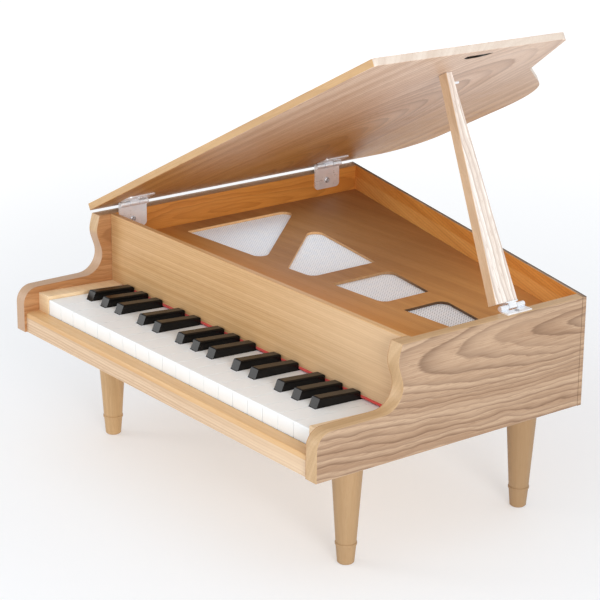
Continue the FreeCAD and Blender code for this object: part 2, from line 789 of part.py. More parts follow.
def openings():
    """Corner points of the four openings, with the corners that are widely rounded."""
    a_left = "(cleat_width + net_gap + net_margin - INNER)"
    a_right = f"({a_left} + opening_a_width)"
    b_left = f"({a_right} + opening_b_gap)"
    b_right = f"({b_left} + opening_b_width)"
    c_left = f"({b_right} + opening_c_gap)"
    c_right = f"({c_left} + opening_c_width)"
    d_left = f"({c_right} + opening_d_gap)"
    d_right = f"({d_left} + opening_d_width)"
    # The bar between the first two openings slants, so the second one's rear left
    # corner lies where that slant meets the slanting rear line.
    run = f"(({opening_rear(b_left)} - {opening_front(b_left)}) / (opening_bar_slope - opening_slope))"
    b_corner = f"({b_left} - {run})"
    first = [(a_left, opening_front(a_left)), (a_right, opening_front(a_right)),
             (a_left, f"{opening_front(a_right)} + opening_bar_slope * opening_a_width")]
    second = [(b_left, opening_front(b_left)), (b_right, opening_front(b_right)),
              (b_right, opening_rear(b_right)), (b_corner, opening_rear(b_corner))]
    shapes = [(first, (1, 2)), (second, (1, 3))]
    for left, right in ((c_left, c_right), (d_left, d_right)):
        shapes.append(([(left, opening_front(left)), (right, opening_front(right)),
                        (right, opening_rear(right)), (left, opening_rear(left))], (1, 3)))
    return shapes


def soundboard():
    edge = "(INNER - soundboard_gap)"
    front = "FALL_REAR + soundboard_gap"
    board = plate("soundboard", [
        (f"-{edge}", front), (edge, front),
        (edge, back_line(edge, "soundboard_gap")),
        (f"-{edge}", back_line(f"-{edge}", "soundboard_gap")),
    ], "soundboard_thick", z="leg_height + BOARD_BOTTOM")
    sketch = new_sketch(board, "XY_Plane")
    for points, _ in openings():
        draw(sketch, points)
    pocket(board, sketch, "soundboard_thick", backwards=True)
    for points, wide in openings():
        for index, point in enumerate(points):
            radius = "opening_round" if index in wide else "opening_tip_round"
            round_edges(board, corner(point, "xy"), radius)

    first = openings()[0][0]
    last = openings()[-1][0]
    plate("grille_net", [
        (f"{first[0][0]} - net_margin", f"{first[0][1]} - net_margin"),
        (f"{last[1][0]} + net_margin", f"{last[1][1]} - net_margin"),
        (f"{last[2][0]} + net_margin", f"{last[2][1]} + net_margin"),
        (f"{first[2][0]} - net_margin", f"{first[2][1]} + net_margin"),
    ], "net_thick", z="leg_height + BOARD_BOTTOM - net_thick")

    inside = "(INNER - cleat_width)"
    rear_in = "cleat_width + soundboard_gap"
    cleats = [
        box_outline("-INNER", "FALL_REAR", "INNER", "FALL_REAR + cleat_width"),
        [("-INNER", "FALL_REAR + cleat_width"), (f"-{inside}", "FALL_REAR + cleat_width"),
         (f"-{inside}", back_line(f"-{inside}", rear_in)), ("-INNER", back_line("-INNER", rear_in))],
        [(inside, "FALL_REAR + cleat_width"), ("INNER", "FALL_REAR + cleat_width"),
         ("INNER", back_line("INNER", rear_in)), (inside, back_line(inside, rear_in))],
        [("-INNER", back_line("-INNER", "cleat_width")), ("INNER", back_line("INNER", "cleat_width")),
         ("INNER", back_line("INNER")), ("-INNER", back_line("-INNER"))],
    ]
    strips = [plate(f"cleat_{name}", outline, "cleat_height",
                    z="leg_height + BOARD_BOTTOM - cleat_height")
              for name, outline in zip(("front", "left", "right", "back"), cleats)]
    group("soundboard_cleats", strips)


# Lid, drawn shut about its hinge axis and turned open by its placement
LID_PLACE = {"x": "LID_AXIS", "z": "TOP + hinge_rise", "turn": "lid_open_angle", "axis": (0, -1, 0)}


def lid():
    corners = [
        ("LID_LEFT", "LID_FRONT"),
        ("LID_RIGHT", "LID_FRONT"),
        ("LID_TIP", "LID_WING"),
        ("LID_TIP - lid_wing_width", "LID_WING + NOTCH_SLOPE * lid_wing_width - lid_notch"),
        ("LID_SHOULDER", "LID_TAIL"),
        ("LID_LEFT", "LID_TAIL"),
    ]
    rounds = ("lid_corner_round", "lid_corner_round", "lid_tip_round",
              "lid_hollow", "lid_shoulder", "lid_tail_corner")
    body = new_body("lid", **LID_PLACE)
    sketch = new_sketch(body, "XY_Plane", "LID_UNDER")
    draw(sketch, corners)
    pad(body, sketch, "lid_thick")
    for point, radius in zip(corners, rounds):
        round_edges(body, corner(point, "xy"), radius)
    sketch = new_sketch(body, "XY_Plane", "LID_UNDER")
    far = "LID_RIGHT - slot_inset"
    near = "LID_FRONT + slot_setback"
    draw_box(sketch, f"{far} - slot_width", near, far, f"{near} + slot_length")
    pocket(body, sketch, "slot_sink", backwards=True)
    for end in (near, f"{near} + slot_length"):
        round_edges(body, corner((f"{far} - slot_width", end), "xy"), "slot_round")
    sketch = new_sketch(body, "XY_Plane", "LID_UNDER")
    for hinge in HINGES:
        draw_circle(sketch, "lid_screw_reach", hinge, "screw_shank")
    pocket(body, sketch, "screw_length - hinge_leaf_thick", backwards=True)


# Hinges
def barrel(body, along, length, outer):
    """Knuckle of a hinge: a round bar along Y about the body's own axis."""
    sketch = new_sketch(body, "XZ_Plane", f"-({along})")
    draw_circle(sketch, "0", "0", outer)
    pad(body, sketch, length, backwards=True)


def bore(body, diameter):
    sketch = new_sketch(body, "XZ_Plane")
    draw_circle(sketch, "0", "0", diameter)
    pocket(body, sketch, midplane=True)


def lid_hinges():
    fixed = new_body("lid_hinge_case_leaves", x="LID_AXIS", z="TOP + hinge_rise")
    moving = new_body("lid_hinge_lid_leaves", **LID_PLACE)
    face = "-hinge_barrel / 2"
    low = "-hinge_rise - hinge_leaf_drop"
    notch = "KNUCKLE + 2 * hinge_knuckle_gap"
    middle = "(KNUCKLE - hinge_knuckle_gap)"
    step = "hinge_barrel / 2 + hinge_notch_gap"
    for hinge in HINGES:
        start, end = beside(hinge, "hinge_length")
        notch_start, notch_end = beside(hinge, notch)
        sketch = new_sketch(fixed, "YZ_Plane", face)
        draw(sketch, [
            (start, low), (end, low), (end, "0"), (notch_end, "0"),
            (notch_end, f"-({step})"), (notch_start, f"-({step})"),
            (notch_start, "0"), (start, "0"),
        ])
        pad(fixed, sketch, "hinge_leaf_thick")
        barrel(fixed, start, middle, "hinge_barrel")
        barrel(fixed, f"{end} - {middle}", middle, "hinge_barrel")
        for spot in (start, end):
            round_edges(fixed, corner((spot, low), "yz"), "hinge_corner")

        inner_start, inner_end = beside(hinge, middle)
        sketch = new_sketch(moving, "XY_Plane", "LID_UNDER - hinge_leaf_thick")
        draw(sketch, [
            ("0", inner_start), (step, inner_start), (step, start),
            ("hinge_leaf_reach", start), ("hinge_leaf_reach", end), (step, end),
            (step, inner_end), ("0", inner_end),
        ])
        pad(moving, sketch, "hinge_leaf_thick")
        barrel(moving, inner_start, middle, "hinge_barrel")
        for spot in (start, end):
            round_edges(moving, corner(("hinge_leaf_reach", spot), "xy"), "hinge_corner")
    bore(fixed, "hinge_pin")
    bore(moving, "hinge_pin + 2 * running_gap")
    sketch = new_sketch(fixed, "YZ_Plane", face)
    for hinge in HINGES:
        draw_circle(sketch, hinge, "-hinge_rise - wall_screw_drop", "screw_shank")
    pocket(fixed, sketch, "hinge_leaf_thick", backwards=True)
    sketch = new_sketch(moving, "XY_Plane", "LID_UNDER - hinge_leaf_thick")
    for hinge in HINGES:
        draw_circle(sketch, "lid_screw_reach", hinge, "screw_shank")
    pocket(moving, sketch, "hinge_leaf_thick", backwards=True)

    pins = [cylinder("lid_pin", "hinge_pin", "hinge_length", "LID_AXIS",
                     f"FRONT + {hinge} - hinge_length / 2", "TOP + hinge_rise") for hinge in HINGES]
    pins.append(cylinder("prop_pin", "prop_hinge_pin", "prop_hinge_length", "PROP_AXIS",
                         "FRONT + prop_hinge_depth - prop_hinge_length / 2", "TOP + PROP_RISE"))
    group("hinge_pins", pins)


# Prop stick, drawn folded flat towards the bass and turned up square to the lid by its placement
PROP_PLACE = {"x": "PROP_AXIS", "z": "TOP + PROP_RISE", "turn": "PROP_LEAN"}


def prop():
    stick = new_body("prop_stick", **PROP_PLACE)
    sketch = new_sketch(stick, "XY_Plane", "PROP_FACE")
    draw(sketch, [
        ("-prop_foot_gap", "PROP_REAR - prop_width"), ("-prop_foot_gap", "PROP_REAR"),
        ("-PROP_LENGTH", "PROP_REAR"), ("-PROP_LENGTH", "PROP_REAR - prop_tip_width"),
    ])
    pad(stick, sketch, "prop_thick", backwards=True)
    peg = new_body("prop_peg", **PROP_PLACE)
    for body, shape in ((stick, pocket), (peg, pad)):
        sketch = new_sketch(body, "XZ_Plane", "-PEG_START")
        draw_circle(sketch, "PEG_ALONG", "PROP_FACE - prop_thick / 2", "peg_width")
        shape(body, sketch, "peg_sink + peg_reach", backwards=shape is pad)

    fixed = new_body("prop_hinge_case_leaf", x="PROP_AXIS", z="TOP + PROP_RISE")
    moving = new_body("prop_hinge_stick_leaf", **PROP_PLACE)
    start, end = beside("prop_hinge_depth", "prop_hinge_length")
    notch_start, notch_end = beside("prop_hinge_depth", "PROP_KNUCKLE + 2 * hinge_knuckle_gap")
    clear = "(PROP_HALF_BARREL + hinge_notch_gap)"
    sketch = new_sketch(fixed, "XY_Plane", "-PROP_RISE")
    draw(sketch, [
        ("prop_leaf_width", start), ("prop_leaf_width", end), ("0", end),
        ("0", notch_end), (clear, notch_end), (clear, notch_start), ("0", notch_start), ("0", start),
    ])
    pad(fixed, sketch, "prop_leaf_thick")
    length = "(PROP_KNUCKLE - hinge_knuckle_gap)"
    barrel(fixed, start, length, "prop_hinge_barrel")
    barrel(fixed, f"{end} - {length}", length, "prop_hinge_barrel")
    bore(fixed, "prop_hinge_pin")

    # The stick's leaf runs off the knuckle and bends under the foot of the stick.
    inner_start, inner_end = beside("prop_hinge_depth", length)
    leaf_start, leaf_end = beside("prop_hinge_depth", "stick_leaf_length")
    sketch = new_sketch(moving, "XY_Plane", "PROP_FACE")
    draw_box(sketch, "-prop_foot_gap", inner_start, "0", inner_end)
    pad(moving, sketch, "prop_leaf_thick")
    sketch = new_sketch(moving, "YZ_Plane", "-prop_foot_gap")
    draw_box(sketch, leaf_start, "PROP_FACE - stick_leaf_drop", leaf_end, "PROP_HALF_BARREL")
    pad(moving, sketch, "prop_leaf_thick")
    barrel(moving, inner_start, length, "prop_hinge_barrel")
    bore(moving, "prop_hinge_pin + 2 * running_gap")

    sketch = new_sketch(fixed, "XY_Plane", "-PROP_RISE")
    draw_circle(sketch, "prop_screw_inset", "prop_hinge_depth", "prop_screw_shank")
    pocket(fixed, sketch, "prop_leaf_thick", backwards=True)
    spots = [(depth, "PROP_FACE - stick_screw_drop")
             for depth in beside("prop_hinge_depth", "stick_screw_spread")]
    seat = "prop_leaf_thick - prop_foot_gap"
    for target, face, depth in ((moving, seat, "prop_leaf_thick"),
                                (stick, "-prop_foot_gap", "prop_screw_length - prop_leaf_thick")):
        sketch = new_sketch(target, "YZ_Plane", face)
        for spot in spots:
            draw_circle(sketch, *spot, "prop_screw_shank")
        pocket(target, sketch, depth)
    screws = new_body("prop_screws", **PROP_PLACE)
    for spot in spots:
        screw(screws, "YZ_Plane", spot, seat, SMALL_SCREW)


# Screws and bolts
WALL_SCREW = ("screw_head", "screw_head_rise", "screw_shank", "screw_length")
SMALL_SCREW = ("prop_screw_head", "prop_screw_rise", "prop_screw_shank", "prop_screw_length")


def screw(body, role, spot, seat, sizes, backwards=False):
    """A screw whose head sits on a face and whose shank runs into the wood behind it."""
    head, rise, shank, length = sizes
    for diameter, run, other_way in ((head, rise, backwards), (shank, length, not backwards)):
        sketch = new_sketch(body, role, seat)
        draw_circle(sketch, *spot, diameter)
        pad(body, sketch, run, backwards=other_way)


def fasteners():
    wall = new_body("hinge_wall_screws", x="LID_AXIS", z="TOP + hinge_rise")
    for hinge in HINGES:
        screw(wall, "YZ_Plane", (hinge, "-hinge_rise - wall_screw_drop"),
              "hinge_leaf_thick - hinge_barrel / 2", WALL_SCREW)
    prop_wall = new_body("prop_wall_screw", x="PROP_AXIS", z="TOP + PROP_RISE")
    screw(prop_wall, "XY_Plane", ("prop_screw_inset", "prop_hinge_depth"), "prop_leaf_thick - PROP_RISE",
          SMALL_SCREW)
    bolts = new_body("leg_bolts", z="leg_height")
    for diameter, run in (("leg_nut_width", "leg_nut_thick"),
                          ("leg_bolt_bore", "bottom_thick + leg_bolt_depth")):
        sketch = new_sketch(bolts, "XY_Plane", "bottom_thick")
        for spot in LEG_SPOTS:
            draw_circle(sketch, *spot, diameter)
        pad(bolts, sketch, run, backwards=True)
    group("case_fasteners", [wall, prop_wall, bolts])

    lid_screws = new_body("lid_screws", **LID_PLACE)
    for hinge in HINGES:
        screw(lid_screws, "XY_Plane", ("lid_screw_reach", hinge), "LID_UNDER - hinge_leaf_thick",
              WALL_SCREW, backwards=True)


# Every node of the part
NODES = [
    "bottom_board", "left_side", "right_side", "back_panel", "fallboard", "fallboard_felt",
    "key_slip", "cheek_blocks", "key_pivot_rod", "key_rest_rail", "felt_strips",
    "tone_tubes", "tube_rails", "soundboard", "soundboard_cleats", "grille_net",
    "legs", "case_fasteners", "lid_hinge_case_leaves", "hinge_pins", "prop_hinge_case_leaf",
    "lid", "lid_hinge_lid_leaves", "lid_screws",
    "prop_stick", "prop_peg", "prop_hinge_stick_leaf", "prop_screws",
]


def export():
    """Check every object, then write each node's file."""
    doc.recompute()
    keys = sorted(item.Label for item in doc.Objects if item.Label.startswith("key_")
                  and item.isDerivedFrom("PartDesign::Body") and item.Label[4:6].isdigit())
    faults = []
    for item in doc.Objects:
        if {"Invalid", "Error"} & set(item.State):
            faults.append(f"{item.Label}: {item.State}")
        elif hasattr(item, "Shape") and item.isDerivedFrom("Part::Feature") and (
                item.Shape.isNull() or not item.Shape.isValid()):
            faults.append(f"{item.Label}: shape not valid")
    if faults:
        raise RuntimeError("; ".join(faults))
    os.makedirs("parts", exist_ok=True)
    for label in NODES + keys:
        node = doc.getObjectsByLabel(label)[0]
        node.Shape.exportStep(os.path.join("parts", f"{label}.step"))
    print(len(NODES) + len(keys), "nodes written")


def main():
    case()
    legs()
    keyboard()
    sound()
    soundboard()
    lid()
    lid_hinges()
    prop()
    fasteners()
    export()


main()
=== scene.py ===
import math

import bpy
import numpy as np
from mathutils import Matrix, Vector


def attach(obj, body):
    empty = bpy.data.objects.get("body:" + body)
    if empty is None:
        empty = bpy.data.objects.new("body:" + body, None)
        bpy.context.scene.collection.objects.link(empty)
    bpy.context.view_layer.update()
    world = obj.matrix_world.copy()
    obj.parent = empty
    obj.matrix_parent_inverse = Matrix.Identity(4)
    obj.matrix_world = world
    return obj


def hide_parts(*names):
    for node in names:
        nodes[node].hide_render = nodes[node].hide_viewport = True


# Toy grand piano: finishes, felt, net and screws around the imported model.
# Metres, in the row frame: X from bass to treble, Y from the player to the tail, Z up.

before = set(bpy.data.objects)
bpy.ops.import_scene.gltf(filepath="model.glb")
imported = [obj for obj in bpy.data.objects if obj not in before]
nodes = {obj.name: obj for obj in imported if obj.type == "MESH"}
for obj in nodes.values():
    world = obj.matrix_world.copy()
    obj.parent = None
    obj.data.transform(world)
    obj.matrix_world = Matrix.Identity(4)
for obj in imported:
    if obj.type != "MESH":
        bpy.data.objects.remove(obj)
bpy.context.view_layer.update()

# Case
WALL_OUT = 0.2125
WALL_IN = 0.1990
LEDGE = 0.2030
CASE_TOP = 0.1905
FALLBOARD_BACK = -0.1295
FALLBOARD_LIPPING = CASE_TOP - 0.0008
SLIP_LIPPING = 0.1122
BOARD_TOP = 0.1675
BOARD_UNDER = 0.1650

# Back panel: it slants, so a place in its thickness is a reach y + slope * x
BACK_SLOPE = 107 / 425
BACK_INSIDE = 0.0925
BACK_RIM = 0.0946
BACK_HALF_UP = 0.1804

# Lid, measured from its hinge axis, with the finger recess in its underside
LID_AXIS = (-0.1964, 0.0, 0.1975)
LID_OPEN = 27.2
LID_UNDER = 0.0029
LID_THICK = 0.006
LID_FRONT = -0.149
SLOT_LOW = (0.3898, -0.0430, 0.0031)
SLOT_HIGH = (0.4008, -0.0145, 0.0071)

# Prop stick: its hinge axis, its lean, and the slant of its front edge
PROP_AXIS = (0.2005, 0.0, 0.1930)
PROP_LEAN = 62.8
STICK_FRONT = -0.0426
STICK_TAPER = 0.0163 / 0.1840

# Net: its bass end, its length, and its front edge and depth at the bass and treble ends
NET_LEFT = -0.188
NET_LENGTH = 0.357
NET_FRONTS = (-0.07674, -0.05640)
NET_DEPTHS = (0.14117, 0.0477)
NET_THICK = 0.0004
NET_PITCH = 0.0026

# Felts: half length, then each strip's places at its bass and treble ends, width, under and upper side
FELT_END = 0.18335
RED_FELT = ((-0.1324, -0.1324), 0.0058, 0.12698, 0.12938)
UNDER_FELTS = (
    ((-0.191, -0.191), 0.020, 0.1070, 0.1098),
    ((-0.025, -0.025), 0.012, 0.1146, 0.1160),
    ((-0.004, -0.004), 0.008, 0.1427, 0.1442),
    ((0.09345, 0.02457), 0.008, 0.1427, 0.1442),
)
FELT_LUMPS = 0.05

# Screws: head, rise, shank and length; and where screws and bolts sit
WALL_SCREW = (0.0052, 0.0010, 0.0026, 0.0044)
SMALL_SCREW = (0.0038, 0.0007, 0.0020, 0.0060)
HINGE_PLACES = (-0.112, 0.107)
WALL_LEAF = (-0.1978, 0.1825)
LID_LEAF = (0.011, LID_UNDER - 0.0012)
PROP_LEAF_SCREW = (0.2065, -0.0263, 0.1915)
STICK_FOOT = (0.003, -0.0046)
STICK_SCREW_PLACES = (-0.0298, -0.0228)
LEG_SPOTS = ((-0.165, -0.158), (0.165, -0.158), (-0.165, 0.02396), (0.165, 0.02396))

# Where a finish changes its tone, much of it painted shade or light: the place where the change
# starts, and where it is full
BASS_HALF = (0.0, -0.1)
ARM_CURVE = (0.178, 0.172)
BOARDS_TREBLE = (-0.02, 0.22)
LID_HINGE_SIDE = (0.38, 0.06)
LID_LOWER_FACE = (LID_UNDER + 0.004, LID_UNDER + 0.002)
SOUNDBOARD_BASS = (0.14, -0.04)
SOUNDBOARD_TAIL = (-0.12, -0.03)
SOUNDBOARD_FRONT = (-0.055, -0.100)
OPENINGS_TREBLE = (-0.04, 0.08)
LEGS_TREBLE = (-0.1, 0.2)
LEGS_REAR = (-0.14, 0.0)
NET_TREBLE = (0.0, 0.14)
FLOOR_AWAY = (0.3, 1.5)

# Camera, fitted to the photograph's edges: its place, azimuth, elevation and roll, and focal length
CAMERA_SPOT = (1.35172, -1.12462, 0.732)
CAMERA_TURNS = (52.23, 18.694, -0.524)
SENSOR = 36
FOCAL_PIXELS = 2169.34
PHOTO_PIXELS = 600


# Node tools
def srgb(red, green, blue):
    """A colour given in 0 to 255 steps, turned to linear light."""
    steps = np.array((red, green, blue)) / 255
    light = np.where(steps < 0.04045, steps / 12.92, ((steps + 0.055) / 1.055) ** 2.4)
    return (*light.tolist(), 1.0)


def feed(tree, socket, value):
    """Join a socket to another one, or set its own value."""
    if isinstance(value, bpy.types.NodeSocket):
        tree.links.new(value, socket)
    else:
        socket.default_value = value


def calc(tree, operation, *values, clamp=False):
    """One step of arithmetic on sockets and numbers."""
    node = tree.nodes.new("ShaderNodeMath")
    node.operation = operation
    node.use_clamp = clamp
    for socket, value in zip(node.inputs, values):
        feed(tree, socket, value)
    return node.outputs[0]


def plus(tree, first, second):
    """The sum of two sockets or numbers."""
    return calc(tree, "ADD", first, second)


def minus(tree, first, second):
    """The first less the second."""
    return calc(tree, "SUBTRACT", first, second)


def times(tree, first, second):
    """The product of two sockets or numbers."""
    return calc(tree, "MULTIPLY", first, second)


def absolute(tree, value):
    """A value without its sign."""
    return calc(tree, "ABSOLUTE", value)


def weigh(tree, *pairs, base=None):
    """A sum of values, each times its weight, on top of a base."""
    total = base
    for value, weight in pairs:
        share = times(tree, value, weight)
        total = share if total is None else plus(tree, total, share)
    return total


def step(tree, value, low, high, start=0.0, end=1.0):
    """A smooth rise from start at low to end at high."""
    node = tree.nodes.new("ShaderNodeMapRange")
    node.interpolation_type = "SMOOTHSTEP"
    for label, number in zip(("Value", "From Min", "From Max", "To Min", "To Max"),
                             (value, low, high, start, end)):
        feed(tree, node.inputs[label], number)
    return node.outputs["Result"]


def paint(tree, factor, under, over):
    """One colour over another by a mask."""
    node = tree.nodes.new("ShaderNodeMix")
    node.data_type = "RGBA"
    feed(tree, node.inputs[0], factor)
    feed(tree, node.inputs[6], under)
    feed(tree, node.inputs[7], over)
    return node.outputs[2]


def stretch(tree, vector, scale):
    """A vector with each of its axes scaled by itself."""
    node = tree.nodes.new("ShaderNodeVectorMath")
    node.operation = "MULTIPLY"
    feed(tree, node.inputs[0], vector)
    feed(tree, node.inputs[1], scale)
    return node.outputs[0]


def noise(tree, vector, scale, detail=2.0, rough=0.5):
    """Soft noise from 0 to 1, with its own scale along each axis, in cells a metre."""
    node = tree.nodes.new("ShaderNodeTexNoise")
    feed(tree, node.inputs["Vector"], stretch(tree, vector, scale))
    node.inputs["Scale"].default_value = 1.0
    node.inputs["Detail"].default_value = detail
    node.inputs["Roughness"].default_value = rough
    return node.outputs["Fac"]


def split(tree, vector):
    """The three parts of a vector."""
    node = tree.nodes.new("ShaderNodeSeparateXYZ")
    feed(tree, node.inputs[0], vector)
    return node.outputs


def join(tree, x, y, z):
    """A vector of three parts."""
    node = tree.nodes.new("ShaderNodeCombineXYZ")
    for socket, value in zip(node.inputs, (x, y, z)):
        feed(tree, socket, value)
    return node.outputs[0]


def inside(tree, places, low, high, soft=0.0002):
    """A mask that is 1 in a box of the given corners and 0 outside it."""
    mask = None
    for place, bottom, top in zip(places, low, high):
        if bottom is not None:
            rise = step(tree, place, bottom - soft, bottom + soft)
            mask = rise if mask is None else times(tree, mask, rise)
        if top is not None:
            fall = step(tree, place, top - soft, top + soft, 1.0, 0.0)
            mask = fall if mask is None else times(tree, mask, fall)
    return mask


def at_face(tree, place, face, way=1, fade=(0.0008, 0.0002)):
    """A mask that is 1 at a flat face and fades out just inside the wood. Way is the side of the
    place's axis that the face looks to."""
    return step(tree, place, face - way * fade[0], face - way * fade[1])


def new_group(name, takes, gives):
    """An empty shader group: its tree, its inputs and its outputs by name."""
    tree = bpy.data.node_groups.new(name, "ShaderNodeTree")
    for label, value in takes.items():
        kind = "NodeSocketVector" if value is None else "NodeSocketFloat"
        socket = tree.interface.new_socket(label, in_out="INPUT", socket_type=kind)
        if value is not None:
            socket.default_value = value
    for label in gives:
        tree.interface.new_socket(label, in_out="OUTPUT", socket_type="NodeSocketFloat")
    return tree, tree.nodes.new("NodeGroupInput").outputs, tree.nodes.new("NodeGroupOutput").inputs


def use_group(tree, group, **values):
    """Place a shared group in a material with its own values, and give its outputs."""
    node = tree.nodes.new("ShaderNodeGroup")
    node.node_tree = group
    for label, value in values.items():
        feed(tree, node.inputs[label], value)
    return node.outputs


# Shared effects
def wood_grain():
    """Growth rings of a sawn board.

    The vector runs along the grain, across it and into the board. A ring is a circle round a
    pith line that lies under the board and climbs slowly along it, so the ring number is
    sqrt(across^2 + (depth + climb * along)^2) / spacing, with the across place shifted by slow
    noise. Its fraction darkens towards the ring's edge. Broad pale and dark bands are slow noise
    along the same radius. Pores are short noise dashes along the grain in the pale part of a ring.
    """
    takes = {"Vector": None, "Spacing": 0.004, "Heart": 0.0, "Depth": 0.012, "Climb": 0.05,
             "Waver": 0.004, "Wave": 6.0, "Bands": 0.45}
    tree, given, gives = new_group("wood_grain", takes, ("Lines", "Pores", "Tone", "Height"))
    vector = given["Vector"]
    along, across, deep = split(tree, vector)
    slow = join(tree, times(tree, along, given["Wave"]),
                times(tree, across, times(tree, given["Wave"], 2.5)), times(tree, deep, 9.0))
    swing = minus(tree, noise(tree, slow, (1, 1, 1), 3.0, 0.55), 0.5)
    shift = times(tree, swing, times(tree, given["Waver"], 4.0))
    aside = plus(tree, minus(tree, across, given["Heart"]), shift)
    pith = plus(tree, given["Depth"], plus(tree, deep, times(tree, given["Climb"], along)))
    radius = calc(tree, "SQRT", plus(tree, times(tree, aside, aside), times(tree, pith, pith)))
    ragged = noise(tree, vector, (22.0, 900.0, 900.0), 2.0, 0.6)
    ring = plus(tree, calc(tree, "DIVIDE", radius, given["Spacing"]), times(tree, ragged, 0.28))
    part = calc(tree, "FRACT", ring)
    number = tree.nodes.new("ShaderNodeTexWhiteNoise")
    number.noise_dimensions = "1D"
    feed(tree, number.inputs["W"], calc(tree, "FLOOR", ring))
    weight = plus(tree, times(tree, number.outputs["Value"], 0.5), 0.5)
    edge = times(tree, calc(tree, "POWER", part, 2.0), step(tree, part, 1.0, 0.86))
    lines = times(tree, edge, weight)
    dash = noise(tree, vector, (110.0, 2600.0, 2600.0), 1.0, 0.5)
    pores = times(tree, step(tree, dash, 0.55, 0.68), step(tree, part, 0.55, 0.05, 0.25, 1.0))
    fibre = noise(tree, vector, (20.0, 800.0, 800.0), 3.0, 0.65)
    patch = noise(tree, vector, (5.0, 26.0, 26.0), 2.0, 0.5)
    band = tree.nodes.new("ShaderNodeTexNoise")
    band.noise_dimensions = "1D"
    feed(tree, band.inputs["W"], times(tree, ring, given["Bands"]))
    band.inputs["Scale"].default_value = 1.0
    band.inputs["Detail"].default_value = 1.0
    hollows = weigh(tree, (pores, 0.8), (lines, 0.25))
    feed(tree, gives["Lines"], lines)
    feed(tree, gives["Pores"], pores)
    feed(tree, gives["Tone"], weigh(tree, (fibre, 0.40), (patch, 0.15), (band.outputs["Fac"], 0.45)))
    feed(tree, gives["Height"], minus(tree, times(tree, fibre, 0.25), hollows))
    return tree


def handled():
    """Marks of use on a smooth finish: broad smudges, and fine hairline scratches as two
    sets of thin noise streaks that cross each other."""
    tree, given, gives = new_group("handled", {"Vector": None, "Scale": 30.0}, ("Smudge", "Scratch"))
    scale = given["Scale"]
    scaled = stretch(tree, given["Vector"], join(tree, scale, scale, scale))
    smudge = step(tree, noise(tree, scaled, (1, 1, 1), 3.0, 0.6), 0.35, 0.72)
    first = step(tree, noise(tree, scaled, (2.0, 60.0, 60.0), 1.0, 0.4), 0.70, 0.78)
    second = step(tree, noise(tree, scaled, (70.0, 3.0, 50.0), 1.0, 0.4), 0.72, 0.80)
    feed(tree, gives["Smudge"], smudge)
    feed(tree, gives["Scratch"], calc(tree, "ADD", first, second, clamp=True))
    return tree


def felt_fibre():
    """Matted wool: fine noise warped by coarser noise for the fibres, slow noise for the nap's
    tone, and both for the height."""
    tree, given, gives = new_group("felt_fibre", {"Vector": None}, ("Fibre", "Nap", "Height"))
    vector = given["Vector"]
    bend = times(tree, noise(tree, vector, (500.0, 500.0, 500.0), 2.0, 0.6), 5.0)
    x, y, z = split(tree, stretch(tree, vector, (1800.0, 1800.0, 1800.0)))
    warped = join(tree, plus(tree, x, bend), y, minus(tree, z, bend))
    fibre = noise(tree, warped, (1, 1, 1), 3.0, 0.7)
    nap = noise(tree, vector, (90.0, 160.0, 160.0), 3.0, 0.6)
    feed(tree, gives["Fibre"], step(tree, fibre, 0.3, 0.7))
    feed(tree, gives["Nap"], nap)
    feed(tree, gives["Height"], weigh(tree, (fibre, 0.7), (nap, 0.3)))
    return tree


def drawn_metal():
    """Metal that was drawn or rolled: streaks along the first axis of the vector, and slow
    clouding that dulls the shine."""
    tree, given, gives = new_group("drawn_metal", {"Vector": None}, ("Streak", "Cloud"))
    vector = given["Vector"]
    feed(tree, gives["Streak"], noise(tree, vector, (25.0, 3000.0, 3000.0), 2.0, 0.6))
    feed(tree, gives["Cloud"], noise(tree, vector, (120.0, 160.0, 160.0), 3.0, 0.6))
    return tree


GRAIN = wood_grain()
HANDLED = handled()
FELT = felt_fibre()
METAL = drawn_metal()

# Woods: pale, mid and dark colour, then how strongly the ring lines and the pores show
# Some woods are copies darkened or paled as painted shade or light: on the lid, the prop, the soundboard
# and the back panel.
WOODS = {
    "flamed": ((188, 160, 133), (158, 127, 100), (98, 69, 48), 0.90, 0.35),
    "banding": ((206, 174, 134), (192, 158, 117), (168, 133, 93), 0.45, 0.25),
    "side_stain": ((206, 140, 65), (191, 121, 50), (137, 77, 26), 0.6, 0.25),
    "arm_brown": ((190, 142, 98), (168, 116, 72), (118, 74, 40), 0.6, 0.25),
    "back_stain": ((242, 168, 78), (226, 148, 62), (164, 98, 40), 0.5, 0.25),
    "back_lit_lower": ((252, 190, 106), (241, 172, 89), (182, 118, 58), 0.6, 0.25),
    "fallboard": ((218, 178, 128), (204, 160, 108), (164, 120, 74), 0.6, 0.30),
    "cheek": ((244, 218, 180), (236, 206, 164), (206, 170, 128), 0.35, 0.30),
    "slip": ((226, 198, 166), (212, 180, 146), (160, 120, 88), 0.75, 0.30),
    "lipping": ((222, 182, 132), (212, 168, 116), (184, 140, 92), 0.2, 0.2),
    "lid": ((230, 205, 184), (208, 177, 152), (146, 108, 82), 0.85, 0.4),
    "lid_hinge_shade": ((198, 146, 84), (174, 119, 60), (118, 73, 33), 0.65, 0.3),
    "lid_edge": ((218, 206, 194), (206, 190, 176), (185, 163, 145), 0.3, 0.2),
    "lid_front_shade": ((204, 166, 118), (192, 152, 104), (165, 126, 82), 0.4, 0.2),
    "board": ((210, 155, 92), (196, 140, 79), (168, 114, 59), 0.25, 0.15),
    "board_shaded": ((166, 119, 72), (154, 107, 62), (130, 86, 46), 0.25, 0.15),
    "leg": ((201, 167, 125), (188, 153, 109), (160, 123, 81), 0.35, 0.2),
    "prop": ((238, 233, 228), (222, 211, 201), (150, 120, 98), 0.8, 0.7),
    "prop_front_shade": ((212, 182, 150), (198, 166, 132), (160, 124, 92), 0.4, 0.3),
    "bare": ((226, 194, 150), (210, 174, 128), (170, 128, 84), 0.5, 0.3),
}
